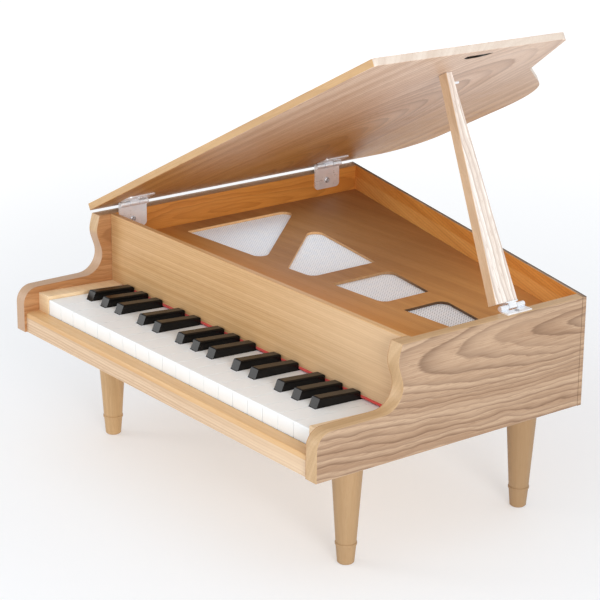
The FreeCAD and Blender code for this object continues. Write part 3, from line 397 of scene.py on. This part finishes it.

# Single colours of tints and paints
# Some tints are painted shade: on the bass arm, the lid's recess, the soundboard's openings, the legs and
# the net; the soundboard's front tint is partly painted warm light.
TINTS = {
    "bass_arm_shade": (186, 153, 130), "boards_treble": (234, 208, 176), "back_rim": (104, 88, 76),
    "recess": (34, 27, 22), "soundboard_front": (224, 148, 60), "leg_treble_shade": (140, 112, 82),
    "raw_pale": (216, 172, 124), "raw_deep": (196, 150, 102), "raw_treble_shade": (92, 66, 44),
    "thread_first": (240, 246, 254), "thread_second": (248, 251, 255),
    "gap_bass": (172, 178, 186), "gap_treble_shade": (92, 97, 106),
    "floor_first": (212, 213, 214), "floor_second": (215, 216, 217),
    "glow_near": (203, 207, 213), "glow_far": (255, 255, 255),
}

# Figures: how each board was sawn from its log, in the inputs of the grain group
FIGURE_INPUTS = ("Spacing", "Heart", "Depth", "Climb", "Waver", "Wave", "Bands")
FIGURES = {
    "side": (0.0040, 0.172, -0.1990, -0.105, 0.0060, 9.0, 0.42),
    "banding": (0.0035, 0.5, 0.01, 0.01, 0.001, 5.0, 0.45),
    "straight": (0.0018, 0.42, 0.05, 0.02, 0.0016, 4.0, 0.45),
    "back": (0.004, 0.150, -0.08, 0.03, 0.004, 7.0, 0.45),
    "lid": (0.0046, 0.03, 0.03, 0.16, 0.0060, 4.0, 0.40),
    "soundboard": (0.005, 0.35, 0.02, 0.04, 0.006, 3.0, 0.45),
    "leg": (0.0035, 0.02, 0.04, 0.05, 0.002, 9.0, 0.45),
    "prop": (0.0045, 0.05, 0.01, 0.05, 0.004, 9.0, 0.45),
    "bare": (0.0055, -0.3, 0.05, 0.05, 0.006, 4.0, 0.45),
}


# Finishes
def tint(name):
    """A single colour by its name."""
    return srgb(*TINTS[name])


def new_finish(name, coordinates="Object"):
    """A material with one plain shader: its tree, that shader and the piece's own coordinates."""
    material = bpy.data.materials.new(name)
    material.use_nodes = True
    tree = material.node_tree
    shader = next(node for node in tree.nodes if node.type == "BSDF_PRINCIPLED")
    own = tree.nodes.new("ShaderNodeTexCoord").outputs[coordinates]
    return material, tree, shader, own


def turned_to(tree, own, angle, axis_spot):
    """The coordinates seen from a board that is turned about a Y axis through a spot."""
    turn = math.radians(angle)
    x, _, z = axis_spot
    node = tree.nodes.new("ShaderNodeMapping")
    node.vector_type = "POINT"
    node.inputs["Rotation"].default_value = (0, turn, 0)
    node.inputs["Location"].default_value = (-(x * math.cos(turn) + z * math.sin(turn)), 0,
                                             x * math.sin(turn) - z * math.cos(turn))
    feed(tree, node.inputs["Vector"], own)
    return node.outputs[0]


def relief(tree, shader, height, strength, distance):
    """Fine relief that only shows in the light."""
    node = tree.nodes.new("ShaderNodeBump")
    node.inputs["Strength"].default_value = strength
    node.inputs["Distance"].default_value = distance
    feed(tree, node.inputs["Height"], height)
    feed(tree, shader.inputs["Normal"], node.outputs[0])


def sawn(tree, vector, figure, **changes):
    """The grain of a board by the name of its figure."""
    values = dict(zip(FIGURE_INPUTS, FIGURES[figure]))
    return use_group(tree, GRAIN, Vector=vector, **{**values, **changes})


def wood_colour(tree, grain, wood):
    """Pale and mid wood by the tone, darkened along ring edges and in the pores."""
    pale, mid, dark = (srgb(*steps) for steps in WOODS[wood][:3])
    lines, pores = WOODS[wood][3:]
    ground = paint(tree, step(tree, grain["Tone"], 0.35, 0.65), pale, mid)
    ringed = paint(tree, times(tree, grain["Lines"], lines), ground, dark)
    return paint(tree, times(tree, grain["Pores"], pores), ringed, dark)


def two_woods(tree, mask, grain, under, over):
    """One wood over another by a mask, with the same grain."""
    return paint(tree, mask, wood_colour(tree, grain, under), wood_colour(tree, grain, over))


def lacquer(tree, shader, own, grain, colour, rough=0.40):
    """Satin lacquer over coloured, open-pored wood: duller in the pores and where hands have been."""
    feed(tree, shader.inputs["Base Color"], colour)
    marks = use_group(tree, HANDLED, Vector=own, Scale=22.0)
    dulled = weigh(tree, (grain["Pores"], 0.18), (marks["Smudge"], 0.07), (marks["Scratch"], 0.05),
                   base=rough)
    feed(tree, shader.inputs["Roughness"], dulled)
    shader.inputs["Specular IOR Level"].default_value = 0.35
    relief(tree, shader, grain["Height"], strength=0.25, distance=0.0002)


def side_finish():
    """Side panels: flamed veneer outside, plain pale banding on the cut edges, darkened as painted shade
    on the bass arm, brown inner faces of the arms, and an orange stain on the faces that look into the
    case."""
    material, tree, shader, own = new_finish("side_veneer")
    x, y, z = split(tree, own)
    out = absolute(tree, x)
    grain = sawn(tree, join(tree, y, z, out), "side")
    banding = wood_colour(tree, sawn(tree, join(tree, y, x, z), "banding"), "banding")
    # Painted shade: the banding low on the bass arm is darkened.
    bass_arm_shade = times(tree, step(tree, x, *BASS_HALF), step(tree, z, *ARM_CURVE))
    banding = paint(tree, times(tree, bass_arm_shade, 0.65), banding, tint("bass_arm_shade"))
    colour = paint(tree, at_face(tree, out, WALL_OUT), banding, wood_colour(tree, grain, "flamed"))
    arms = step(tree, y, FALLBOARD_BACK - 0.002, FALLBOARD_BACK - 0.004)
    stain = two_woods(tree, arms, grain, "side_stain", "arm_brown")
    colour = paint(tree, at_face(tree, out, WALL_IN, -1), colour, stain)
    well = inside(tree, (out, y, z), (None, FALLBOARD_BACK, BOARD_TOP - 0.0005),
                  (LEDGE + 0.0004, None, CASE_TOP - 0.0005))
    lacquer(tree, shader, own, grain, paint(tree, well, colour, stain))
    return material


def board_finish(name, wood, spacing, lipping=None):
    """Straight-grained veneer whose grain runs across the piano, as on the fallboard, paler to the
    treble. A lipping is plain golden wood above a height."""
    material, tree, shader, own = new_finish(name)
    x, y, z = split(tree, own)
    grain = sawn(tree, join(tree, x, z, y), "straight", Spacing=spacing)
    treble = step(tree, x, *BOARDS_TREBLE, 0.0, 0.45)
    colour = paint(tree, treble, wood_colour(tree, grain, wood), tint("boards_treble"))
    if lipping:
        above = step(tree, z, lipping - 0.0004, lipping + 0.0004)
        colour = paint(tree, above, colour, wood_colour(tree, grain, "lipping"))
    lacquer(tree, shader, own, grain, colour)
    return material


def back_finish():
    """Back panel: flamed veneer outside and on its ends, dark top edge, orange stain inside with painted
    light that makes its lower half paler."""
    material, tree, shader, own = new_finish("back_veneer")
    x, y, z = split(tree, own)
    out = absolute(tree, x)
    level = join(tree, x, z, y)
    grain = sawn(tree, level, "back")
    straight = sawn(tree, level, "straight", Spacing=0.0024)
    ends = wood_colour(tree, sawn(tree, join(tree, y, z, out), "side"), "flamed")
    veneer = paint(tree, at_face(tree, out, WALL_OUT), wood_colour(tree, grain, "flamed"), ends)
    # Painted light: the lower half of the inner face is paler.
    lower = step(tree, z, BACK_HALF_UP + 0.0008, BACK_HALF_UP - 0.0008)
    stain = two_woods(tree, lower, straight, "back_stain", "back_lit_lower")
    reach = plus(tree, y, times(tree, x, BACK_SLOPE))
    face = times(tree, at_face(tree, reach, BACK_INSIDE, -1, (0.0007, 0.0002)),
                 step(tree, out, LEDGE + 0.0004, LEDGE))
    rim = times(tree, at_face(tree, z, CASE_TOP, fade=(0.0006, 0.0002)),
                step(tree, reach, BACK_RIM - 0.0002, BACK_RIM + 0.0002))
    colour = paint(tree, rim, paint(tree, face, veneer, stain), tint("back_rim"))
    lacquer(tree, shader, own, grain, colour, rough=0.5)
    return material


def lid_finish():
    """Lid: wide flamed veneer on both faces with the grain across the piano, painted amber shade
    underneath towards the hinges, pale solid edges, a front edge painted tan as shade, and a finger
    recess painted black as shade."""
    material, tree, shader, own = new_finish("lid_veneer")
    board = turned_to(tree, own, LID_OPEN, LID_AXIS)
    x, y, z = split(tree, board)
    grain = sawn(tree, board, "lid")
    # Painted shade: the underside turns amber and darker towards the hinges.
    hinge_side_shade = times(tree, step(tree, x, *LID_HINGE_SIDE), step(tree, z, *LID_LOWER_FACE))
    veneer = two_woods(tree, hinge_side_shade, grain, "lid", "lid_hinge_shade")
    # Painted shade: the front edge is tinted tan.
    front = at_face(tree, y, LID_FRONT, -1, (0.0008, 0.0004))
    edge = two_woods(tree, front, grain, "lid_edge", "lid_front_shade")
    low = step(tree, z, LID_UNDER + 0.0001, LID_UNDER + 0.0004)
    high = step(tree, z, LID_UNDER + LID_THICK - 0.0001, LID_UNDER + LID_THICK - 0.0004)
    colour = paint(tree, times(tree, low, high), veneer, edge)
    # Painted shade: the finger recess is painted near black.
    colour = paint(tree, inside(tree, (x, y, z), SLOT_LOW, SLOT_HIGH), colour, tint("recess"))
    lacquer(tree, shader, own, grain, colour)
    return material


def soundboard_finish():
    """Soundboard: brown-stained face with painted shade darker to the bass and the tail, and warmer to
    the front, partly painted warm light; raw edges where the openings were sawn out, pale at the bass and
    browned at the treble as painted shade."""
    material, tree, shader, own = new_finish("soundboard_stain")
    x, y, z = split(tree, own)
    grain = sawn(tree, own, "soundboard")
    # Painted shade: darker to the bass and towards the tail.
    shade = times(tree, step(tree, x, *SOUNDBOARD_BASS), step(tree, y, *SOUNDBOARD_TAIL, 0.35, 1.0))
    face = two_woods(tree, shade, grain, "board", "board_shaded")
    # A warmer tone to the front: partly the board's own colour, partly painted warm light.
    face = paint(tree, step(tree, y, *SOUNDBOARD_FRONT, 0.0, 0.5), face, tint("soundboard_front"))
    fibre = noise(tree, own, (900.0, 900.0, 900.0), 3.0, 0.6)
    raw = paint(tree, step(tree, fibre, 0.35, 0.65), tint("raw_pale"), tint("raw_deep"))
    # Painted shade: the raw edges of the treble openings are browned.
    raw = paint(tree, step(tree, x, *OPENINGS_TREBLE), raw, tint("raw_treble_shade"))
    colour = paint(tree, at_face(tree, z, BOARD_TOP, fade=(0.0006, 0.0001)), raw, face)
    lacquer(tree, shader, own, grain, colour, rough=0.5)
    return material


def leg_finish():
    """Turned legs: solid pale wood with the grain upright and a satin finish, with painted shade darker
    to the treble.
    """
    material, tree, shader, own = new_finish("leg_wood")
    x, y, z = split(tree, own)
    grain = sawn(tree, join(tree, z, x, y), "leg")
    # Painted shade: darker to the treble, more so towards the rear.
    leg_shade = times(tree, step(tree, x, *LEGS_TREBLE), step(tree, y, *LEGS_REAR, 0.5, 0.72))
    colour = paint(tree, leg_shade, wood_colour(tree, grain, "leg"), tint("leg_treble_shade"))
    lacquer(tree, shader, own, grain, colour, rough=0.42)
    return material


def prop_finish():
    """Prop stick: pale wood with the grain along the stick, and a front edge painted tan as shade."""
    material, tree, shader, own = new_finish("prop_wood")
    stick = turned_to(tree, own, 180 - PROP_LEAN, PROP_AXIS)
    grain = sawn(tree, stick, "prop")
    # The front edge slants: its line runs back by a fixed share of the way along the stick.
    run_back = times(tree, absolute(tree, split(tree, stick)[0]), STICK_TAPER)
    lead = minus(tree, split(tree, own)[1], plus(tree, run_back, STICK_FRONT))
    # Painted shade: the front edge is tinted tan.
    front = at_face(tree, lead, 0.0, -1, (0.0008, 0.0004))
    colour = two_woods(tree, front, grain, "prop", "prop_front_shade")
    lacquer(tree, shader, own, grain, colour)
    return material


def inner_finish():
    """Bare wood inside the case: the bottom board, rails and cleats."""
    material, tree, shader, own = new_finish("bare_wood")
    grain = sawn(tree, own, "bare")
    lacquer(tree, shader, own, grain, wood_colour(tree, grain, "bare"), rough=0.62)
    return material


def key_finish(name, first, second, rough, bump, shine):
    """Moulded key plastic: slow clouding of the colour, handling marks, and a faint orange-peel
    relief."""
    material, tree, shader, own = new_finish(name)
    cloud = noise(tree, own, (60.0, 25.0, 60.0), 3.0, 0.6)
    feed(tree, shader.inputs["Base Color"], paint(tree, step(tree, cloud, 0.3, 0.7), first, second))
    marks = use_group(tree, HANDLED, Vector=own, Scale=60.0)
    dulled = weigh(tree, (marks["Smudge"], 0.05), (marks["Scratch"], 0.05), base=rough)
    feed(tree, shader.inputs["Roughness"], dulled)
    shader.inputs["Specular IOR Level"].default_value = shine
    peel = noise(tree, own, (350.0, 350.0, 350.0), 1.0, 0.4)
    relief(tree, shader, peel, strength=bump, distance=0.00005)
    return material


def felt_finish(name, pale, deep):
    """Wool felt with a soft sheen."""
    material, tree, shader, own = new_finish(name)
    wool = use_group(tree, FELT, Vector=own)
    ground = paint(tree, step(tree, wool["Nap"], 0.3, 0.7), deep, pale)
    feed(tree, shader.inputs["Base Color"], paint(tree, times(tree, wool["Fibre"], 0.45), ground, pale))
    feed(tree, shader.inputs["Roughness"], weigh(tree, (wool["Fibre"], 0.12), base=0.85))
    shader.inputs["Sheen Weight"].default_value = 0.35
    shader.inputs["Sheen Roughness"].default_value = 0.6
    shader.inputs["Specular IOR Level"].default_value = 0.15
    relief(tree, shader, wool["Height"], strength=0.8, distance=0.0004)
    return material


def net_finish():
    """Net cloth on its own UV map, in metres: two sets of threads at right angles. A thread's
    profile is the absolute sine across it, and the one on top changes from crossing to crossing.
    The gaps between the threads are darker to the treble, as painted shade."""
    material, tree, shader, own = new_finish("net_cloth", "UV")
    u, v, _ = split(tree, own)
    across = times(tree, u, math.pi / NET_PITCH)
    along = times(tree, v, math.pi / NET_PITCH)
    warp = absolute(tree, calc(tree, "SINE", across))
    weft = absolute(tree, calc(tree, "SINE", along))
    lift = times(tree, calc(tree, "SINE", plus(tree, across, along)), 0.15)
    top = calc(tree, "MAXIMUM", plus(tree, warp, lift), minus(tree, weft, lift))
    uneven = noise(tree, own, (160.0, 160.0, 1.0), 3.0, 0.6)
    white = paint(tree, step(tree, uneven, 0.3, 0.7), tint("thread_first"), tint("thread_second"))
    # Painted shade: the gaps between the threads darken to the treble.
    gap = paint(tree, step(tree, u, *NET_TREBLE), tint("gap_bass"), tint("gap_treble_shade"))
    feed(tree, shader.inputs["Base Color"], paint(tree, step(tree, top, 0.35, 0.72), gap, white))
    feed(tree, shader.inputs["Roughness"], step(tree, uneven, 0.0, 1.0, 0.55, 0.75))
    shader.inputs["Specular IOR Level"].default_value = 0.3
    relief(tree, shader, top, strength=0.6, distance=0.0003)
    return material


def metal_finish(name, pale, deep, rough, order, metallic=1.0):
    """Bright or dull metal with drawing streaks, clouding and handling marks. The order of the axes
    starts with the one that it was drawn along."""
    material, tree, shader, own = new_finish(name)
    places = split(tree, own)
    drawn = use_group(tree, METAL, Vector=join(tree, *(places["XYZ".index(axis)] for axis in order)))
    marks = use_group(tree, HANDLED, Vector=own, Scale=90.0)
    colour = paint(tree, step(tree, drawn["Cloud"], 0.3, 0.7), deep, pale)
    feed(tree, shader.inputs["Base Color"], colour)
    dulled = weigh(tree, (drawn["Streak"], 0.12), (marks["Smudge"], 0.10), base=rough)
    feed(tree, shader.inputs["Roughness"], dulled)
    shader.inputs["Metallic"].default_value = metallic
    relief(tree, shader, drawn["Streak"], strength=0.08, distance=0.0001)
    return material


sides = side_finish()
bright = metal_finish("bright_metal", srgb(250, 252, 255), srgb(238, 242, 248),
                      rough=0.22, order="YXZ", metallic=0.60)
dull = metal_finish("zinc_steel", srgb(205, 207, 210), srgb(176, 178, 184), rough=0.32, order="ZXY")
drawn_tube = metal_finish("drawn_tube", srgb(222, 223, 226), srgb(200, 202, 206),
                          rough=0.25, order="YXZ")
whites = key_finish("white_key", srgb(246, 250, 252), srgb(245, 249, 251),
                    rough=0.30, bump=0.0, shine=0.3)
blacks = key_finish("black_key", srgb(20, 18, 17), srgb(14, 13, 12),
                    rough=0.17, bump=0.02, shine=0.17)
bare = inner_finish()
FINISHES = {
    "left_side": sides, "right_side": sides, "back_panel": back_finish(),
    "fallboard": board_finish("fallboard_veneer", "fallboard", spacing=0.0018, lipping=FALLBOARD_LIPPING),
    "key_slip": board_finish("slip_veneer", "slip", spacing=0.0022, lipping=SLIP_LIPPING),
    "cheek_blocks": board_finish("cheek_wood", "cheek", spacing=0.003),
    "soundboard": soundboard_finish(), "legs": leg_finish(),
    "lid": lid_finish(), "prop_stick": prop_finish(),
    "bottom_board": bare, "key_rest_rail": bare, "tube_rails": bare, "soundboard_cleats": bare,
    "tone_tubes": drawn_tube, "key_pivot_rod": dull,
    "lid_hinge_case_leaves": bright, "lid_hinge_lid_leaves": bright, "hinge_pins": bright,
    "prop_hinge_case_leaf": bright, "prop_hinge_stick_leaf": bright, "prop_peg": bright,
}
for name in nodes:
    if name.startswith("key_") and name[4:6].isdigit():
        FINISHES[name] = blacks if name.endswith("_sharp") else whites
for name, material in FINISHES.items():
    slots = nodes[name].data.materials
    slots.clear()
    slots.append(material)


# New pieces
def new_piece(name, points, faces, material, body, slot):
    """A mesh piece at the origin, with its place in its mesh, that rides on a body."""
    mesh = bpy.data.meshes.new(name)
    mesh.from_pydata(points.tolist(), [], faces.tolist())
    mesh.validate()
    mesh.polygons.foreach_set("use_smooth", np.ones(len(mesh.polygons), bool))
    mesh.materials.append(material)
    piece = bpy.data.objects.new(name, mesh)
    bpy.context.scene.collection.objects.link(piece)
    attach(piece, body)
    return piece


def grid_faces(rows, columns, wrap=False):
    """Quads of a grid of points stored row by row; with wrap, the last column meets the first."""
    spans = columns if wrap else columns - 1
    row, column = np.meshgrid(np.arange(rows - 1), np.arange(spans), indexing="ij")
    right = (column + 1) % columns
    quads = np.stack((row * columns + column, row * columns + right,
                      (row + 1) * columns + right, (row + 1) * columns + column), axis=-1)
    return quads.reshape(-1, 4)


def around(columns):
    """Angles once around, as one row."""
    return np.linspace(0, 2 * np.pi, columns, endpoint=False)[None, :]


def together(shapes):
    """Several meshes as one list of points and faces."""
    points, faces, count = [], [], 0
    for some_points, some_faces in shapes:
        points.append(some_points)
        faces.append(some_faces + count)
        count += len(some_points)
    return np.concatenate(points), np.concatenate(faces)


def felt_strip(seed, places, width, low, high):
    """A cut felt strip: a rounded box profile carried from the bass end to the treble end.

    The profile is the superellipse |s|^5 + |t|^5 = 1, its half width along Y and half height up.
    Each point moves in or out by sums of three seeded sines along the strip, so that the cut edges
    are not ruler straight. The first and last rows close on their middles.
    """
    rows, columns, power = 241, 32, 2 / 5
    left, right = places
    dice = np.random.default_rng(seed)
    run = np.linspace(0, 1, rows)[:, None]
    turn = around(columns)
    across = np.sign(np.cos(turn)) * np.abs(np.cos(turn)) ** power
    up = np.sign(np.sin(turn)) * np.abs(np.sin(turn)) ** power
    waves = sum(np.sin(2 * np.pi * (run * dice.uniform(9, 60) + dice.uniform())
                       + turn * dice.integers(1, 4)) for _ in range(3)) / 3
    close = np.clip(np.minimum(run, 1 - run) * rows, 0, 1)
    full = (1 - FELT_LUMPS * (0.5 + 0.5 * waves)) * close
    x = -FELT_END + 2 * FELT_END * run + 0 * turn
    y = left + (right - left) * run + width / 2 * across * full
    z = (low + high) / 2 + (high - low) / 2 * up * full
    return np.stack((x, y, z), axis=-1).reshape(-1, 3), grid_faces(rows, columns, wrap=True)


def felts():
    """Red strip behind the keys, and the grey strips under keys and tubes."""
    red = felt_finish("red_felt", srgb(232, 62, 50), srgb(196, 32, 30))
    grey = felt_finish("grey_felt", srgb(150, 150, 148), srgb(112, 112, 112))
    piece = new_piece("red_key_felt", *felt_strip(3, *RED_FELT), red, "case", "red_felt")
    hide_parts("fallboard_felt")
    strips = [felt_strip(seed, *strip) for seed, strip in enumerate(UNDER_FELTS, start=11)]
    piece = new_piece("under_key_felt", *together(strips), grey, "case", "grey_felt")
    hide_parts("felt_strips")


def net_sheet():
    """The net behind the openings: a four-cornered flat cut under the soundboard, as a bilinear
    patch of its corners. It bellies down by a few tenths of a millimetre between the bars, as the
    product of a sine along and a sine across."""
    rows, columns = 41, 121
    t, s = np.meshgrid(np.linspace(0, 1, rows), np.linspace(0, 1, columns), indexing="ij")
    x = NET_LEFT + NET_LENGTH * s
    front = NET_FRONTS[0] + (NET_FRONTS[1] - NET_FRONTS[0]) * s
    y = front + (NET_DEPTHS[0] + (NET_DEPTHS[1] - NET_DEPTHS[0]) * s) * t
    z = BOARD_UNDER - 0.0001 - 0.0002 * np.abs(np.sin(4 * np.pi * s)) * np.sin(np.pi * t)
    points = np.stack((x, y, z), axis=-1).reshape(-1, 3)
    faces = grid_faces(rows, columns)
    piece = new_piece("grille_net_cloth", points, faces, net_finish(), "case", "net_cloth")
    layer = piece.data.uv_layers.new(name="weave")
    corner = np.empty(len(piece.data.loops), np.int32)
    piece.data.loops.foreach_get("vertex_index", corner)
    layer.data.foreach_set("uv", points[corner][:, :2].astype(np.float32).ravel())
    cloth = piece.modifiers.new("cloth_thickness", "SOLIDIFY")
    cloth.thickness = NET_THICK
    cloth.offset = -1.0
    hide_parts("grille_net")


def screw_form(spot, axis, head, rise, shank, length):
    """A cross-headed screw about its own axis, which points out of the wood.

    The head is a polar surface: its height is rise * (1 - 0.45 r^4), less a cross-shaped pit whose
    depth is a smooth product of the distances to the two bars. A turned profile with thread ridges
    as a sine along the shank closes it at the point.
    """
    rings, columns, threads = 22, 48, 9
    radius = np.linspace(0, 1, rings)[:, None]
    turn = around(columns)
    u, v = radius * np.cos(turn), radius * np.sin(turn)
    bar = np.minimum(np.abs(u), np.abs(v))
    pit = np.clip((0.15 - bar) / 0.05, 0, 1) * np.clip((0.62 - radius) / 0.10, 0, 1)
    height = rise * (1 - 0.45 * radius ** 4 - 0.7 * pit)
    dome = np.stack((head / 2 * u, head / 2 * v, height), axis=-1)
    down = np.linspace(0, 1, 60)
    ridge = 1 - 0.16 * (0.5 + 0.5 * np.sin(down * 2 * np.pi * threads))
    point = np.clip((1 - down) / 0.3, 0.02, 1)
    girth = np.concatenate(([head / 2, head / 2 * 0.98], shank / 2 * ridge * point))
    level = np.concatenate(([rise * 0.5, 0.0], -0.00002 - length * down))
    shaft = np.stack((girth[:, None] * np.cos(turn), girth[:, None] * np.sin(turn),
                      level[:, None] + 0 * turn), axis=-1)
    local = np.concatenate((dome.reshape(-1, 3), shaft.reshape(-1, 3)))
    turned = Vector((0, 0, 1)).rotation_difference(Vector(axis)).to_matrix()
    points = local @ np.array(turned).T + np.array(spot)
    return points, grid_faces(rings + len(girth), columns, wrap=True)


def bolt_form(spot):
    """A hanger bolt and its round nut, turned about the leg's axis: thread ridges are a sine along
    the rod, and the nut is a wide short step with eased edges."""
    columns, threads = 32, 22
    low, length = 0.0750, 0.029
    rod, ridge, nut, eased = 0.0030, 0.0003, 0.0065, 0.0004
    nut_low, nut_high = low + length, 0.1070
    run = np.linspace(0, 1, 90)
    thread = rod - ridge * (0.5 + 0.5 * np.sin(run * 2 * np.pi * threads))
    girth = np.concatenate(([0.0], thread, [nut - eased, nut, nut, nut - eased, 0.0]))
    level = np.concatenate(([low], low + length * run,
                            [nut_low, nut_low + eased, nut_high - eased, nut_high, nut_high]))
    turn = around(columns)
    points = np.stack((girth[:, None] * np.cos(turn) + spot[0], girth[:, None] * np.sin(turn) + spot[1],
                       level[:, None] + 0 * turn), axis=-1).reshape(-1, 3)
    return points, grid_faces(len(girth), columns, wrap=True)


def lid_spot(x, y, z):
    """A place given from the lid's hinge axis, with the lid shut, as it lies with the lid open."""
    turn = math.radians(LID_OPEN)
    return (LID_AXIS[0] + x * math.cos(turn) - z * math.sin(turn), y,
            LID_AXIS[2] + x * math.sin(turn) + z * math.cos(turn))


def stick_spot(along, y, out):
    """A place given along the prop stick from its hinge, and out from its face."""
    lean = math.radians(PROP_LEAN)
    return (PROP_AXIS[0] - along * math.cos(lean) + out * math.sin(lean), y,
            PROP_AXIS[2] + along * math.sin(lean) + out * math.cos(lean))


def fastenings():
    """Screws and bolts in place of their plain solids."""
    lean, turn = math.radians(PROP_LEAN), math.radians(LID_OPEN)
    from_wall, from_ledge = (1, 0, 0), (0, 0, 1)
    from_lid = (math.sin(turn), 0, -math.cos(turn))
    from_foot = (math.cos(lean), 0, -math.sin(lean))
    wall_x, wall_z = WALL_LEAF
    lid_x, lid_z = LID_LEAF
    foot, foot_out = STICK_FOOT
    case = [screw_form((wall_x, y, wall_z), from_wall, *WALL_SCREW) for y in HINGE_PLACES]
    case.append(screw_form(PROP_LEAF_SCREW, from_ledge, *SMALL_SCREW))
    case += [bolt_form(spot) for spot in LEG_SPOTS]
    lid = [screw_form(lid_spot(lid_x, y, lid_z), from_lid, *WALL_SCREW) for y in HINGE_PLACES]
    prop = [screw_form(stick_spot(foot, y, foot_out), from_foot, *SMALL_SCREW)
            for y in STICK_SCREW_PLACES]
    for body, node, shapes, material, slot in (
            ("case", "case_fasteners", case, dull, "steel"),
            ("lid", "lid_screws", lid, bright, "bright_metal"),
            ("prop", "prop_screws", prop, bright, "bright_metal")):
        piece = new_piece(f"{node}_cut", *together(shapes), material, body, slot)
        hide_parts(node)


def eased_edges(width):
    """Sanded edges on the boards: the loose corners are merged, and sharp edges get a small round."""
    for name in ("fallboard", "key_slip", "cheek_blocks", "back_panel", "bottom_board", "lid",
                 "prop_stick"):
        merged = nodes[name].modifiers.new("merged", "WELD")
        merged.merge_threshold = 0.00001
        sanded = nodes[name].modifiers.new("sanded", "BEVEL")
        sanded.width = width
        sanded.segments = 2
        sanded.limit_method = "ANGLE"
        sanded.angle_limit = math.radians(40)
        sanded.harden_normals = True


felts()
net_sheet()
fastenings()
eased_edges(0.0004)


# Studio
def photo_camera():
    """The camera that was fitted to the photograph's edges, for a square picture."""
    azimuth, elevation, roll = (math.radians(angle) for angle in CAMERA_TURNS)
    back = Vector((math.sin(azimuth) * math.cos(elevation), -math.cos(azimuth) * math.cos(elevation),
                   math.sin(elevation)))
    right = (-back).cross(Vector((0, 0, 1))).normalized()
    down = (-back).cross(right)
    rolled = math.cos(roll) * right + math.sin(roll) * down
    up = math.sin(roll) * right - math.cos(roll) * down
    lens = bpy.data.cameras.new("photo_camera")
    lens.sensor_width = SENSOR
    lens.lens = SENSOR * FOCAL_PIXELS / PHOTO_PIXELS
    camera = bpy.data.objects.new("photo_camera", lens)
    bpy.context.scene.collection.objects.link(camera)
    facing = Matrix((rolled, up, back)).transposed().to_4x4()
    camera.matrix_world = Matrix.Translation(CAMERA_SPOT) @ facing
    bpy.context.scene.camera = camera


def soft_light(name, spot, aim, width, power, tone=(1, 1, 1), depth=None):
    """A soft light, round, or oblong where a second side is given."""
    lamp = bpy.data.lights.new(name, "AREA")
    lamp.shape = "RECTANGLE" if depth else "DISK"
    lamp.size = width
    if depth:
        lamp.size_y = depth
    lamp.energy = power
    lamp.color = tone
    light = bpy.data.objects.new(name, lamp)
    light.location = spot
    light.rotation_euler = (Vector(aim) - Vector(spot)).to_track_quat("-Z", "Y").to_euler()
    light.visible_camera = False
    bpy.context.scene.collection.objects.link(light)


def floor():
    """A pale light-table floor, a flat square far larger than the piano, that glows a little itself
    and more so further out."""
    half_side = 8.0
    t, s = np.meshgrid((-half_side, half_side), (-half_side, half_side), indexing="ij")
    points = np.stack((s, t, 0 * s), axis=-1).reshape(-1, 3)
    material, tree, shader, own = new_finish("studio_floor")
    cloud = noise(tree, own, (2.0, 2.0, 2.0), 2.0, 0.5)
    feed(tree, shader.inputs["Base Color"], paint(tree, cloud, tint("floor_first"), tint("floor_second")))
    far = tree.nodes.new("ShaderNodeVectorMath")
    far.operation = "LENGTH"
    feed(tree, far.inputs[0], own)
    glow = step(tree, far.outputs["Value"], *FLOOR_AWAY)
    glow_colour = paint(tree, glow, tint("glow_near"), tint("glow_far"))
    feed(tree, shader.inputs["Emission Color"], glow_colour)
    shader.inputs["Emission Strength"].default_value = 0.52
    shader.inputs["Roughness"].default_value = 0.7
    shader.inputs["Specular IOR Level"].default_value = 0.1
    mesh = bpy.data.meshes.new("studio_floor")
    mesh.from_pydata(points.tolist(), [], grid_faces(2, 2).tolist())
    mesh.materials.append(material)
    ground = bpy.data.objects.new("studio_floor", mesh)
    bpy.context.scene.collection.objects.link(ground)


def studio():
    """White surroundings, two large windows, and a weak bluish fill under the lid."""
    world = bpy.data.worlds.new("studio")
    world.use_nodes = True
    sky = world.node_tree.nodes["Background"]
    sky.inputs["Color"].default_value = (1, 1, 1, 1)
    sky.inputs["Strength"].default_value = 0.76
    bpy.context.scene.world = world
    bpy.context.scene.view_settings.view_transform = "Standard"
    soft_light("side_window", spot=(2.5, -1.0, 0.80), aim=(-0.1, 0, 0.19), width=1.2, power=40)
    soft_light("front_window", spot=(-1.65, -1.57, 0.60), aim=(0, -0.16, 0.135), width=1.0, power=10.5)
    soft_light("lid_fill", spot=lid_spot(0.11, 0.0, -0.008), aim=lid_spot(0.11, 0.0, -0.30), width=0.14,
               power=0.065, tone=(0.70, 0.89, 1.0), depth=0.16)


photo_camera()
floor()
studio()
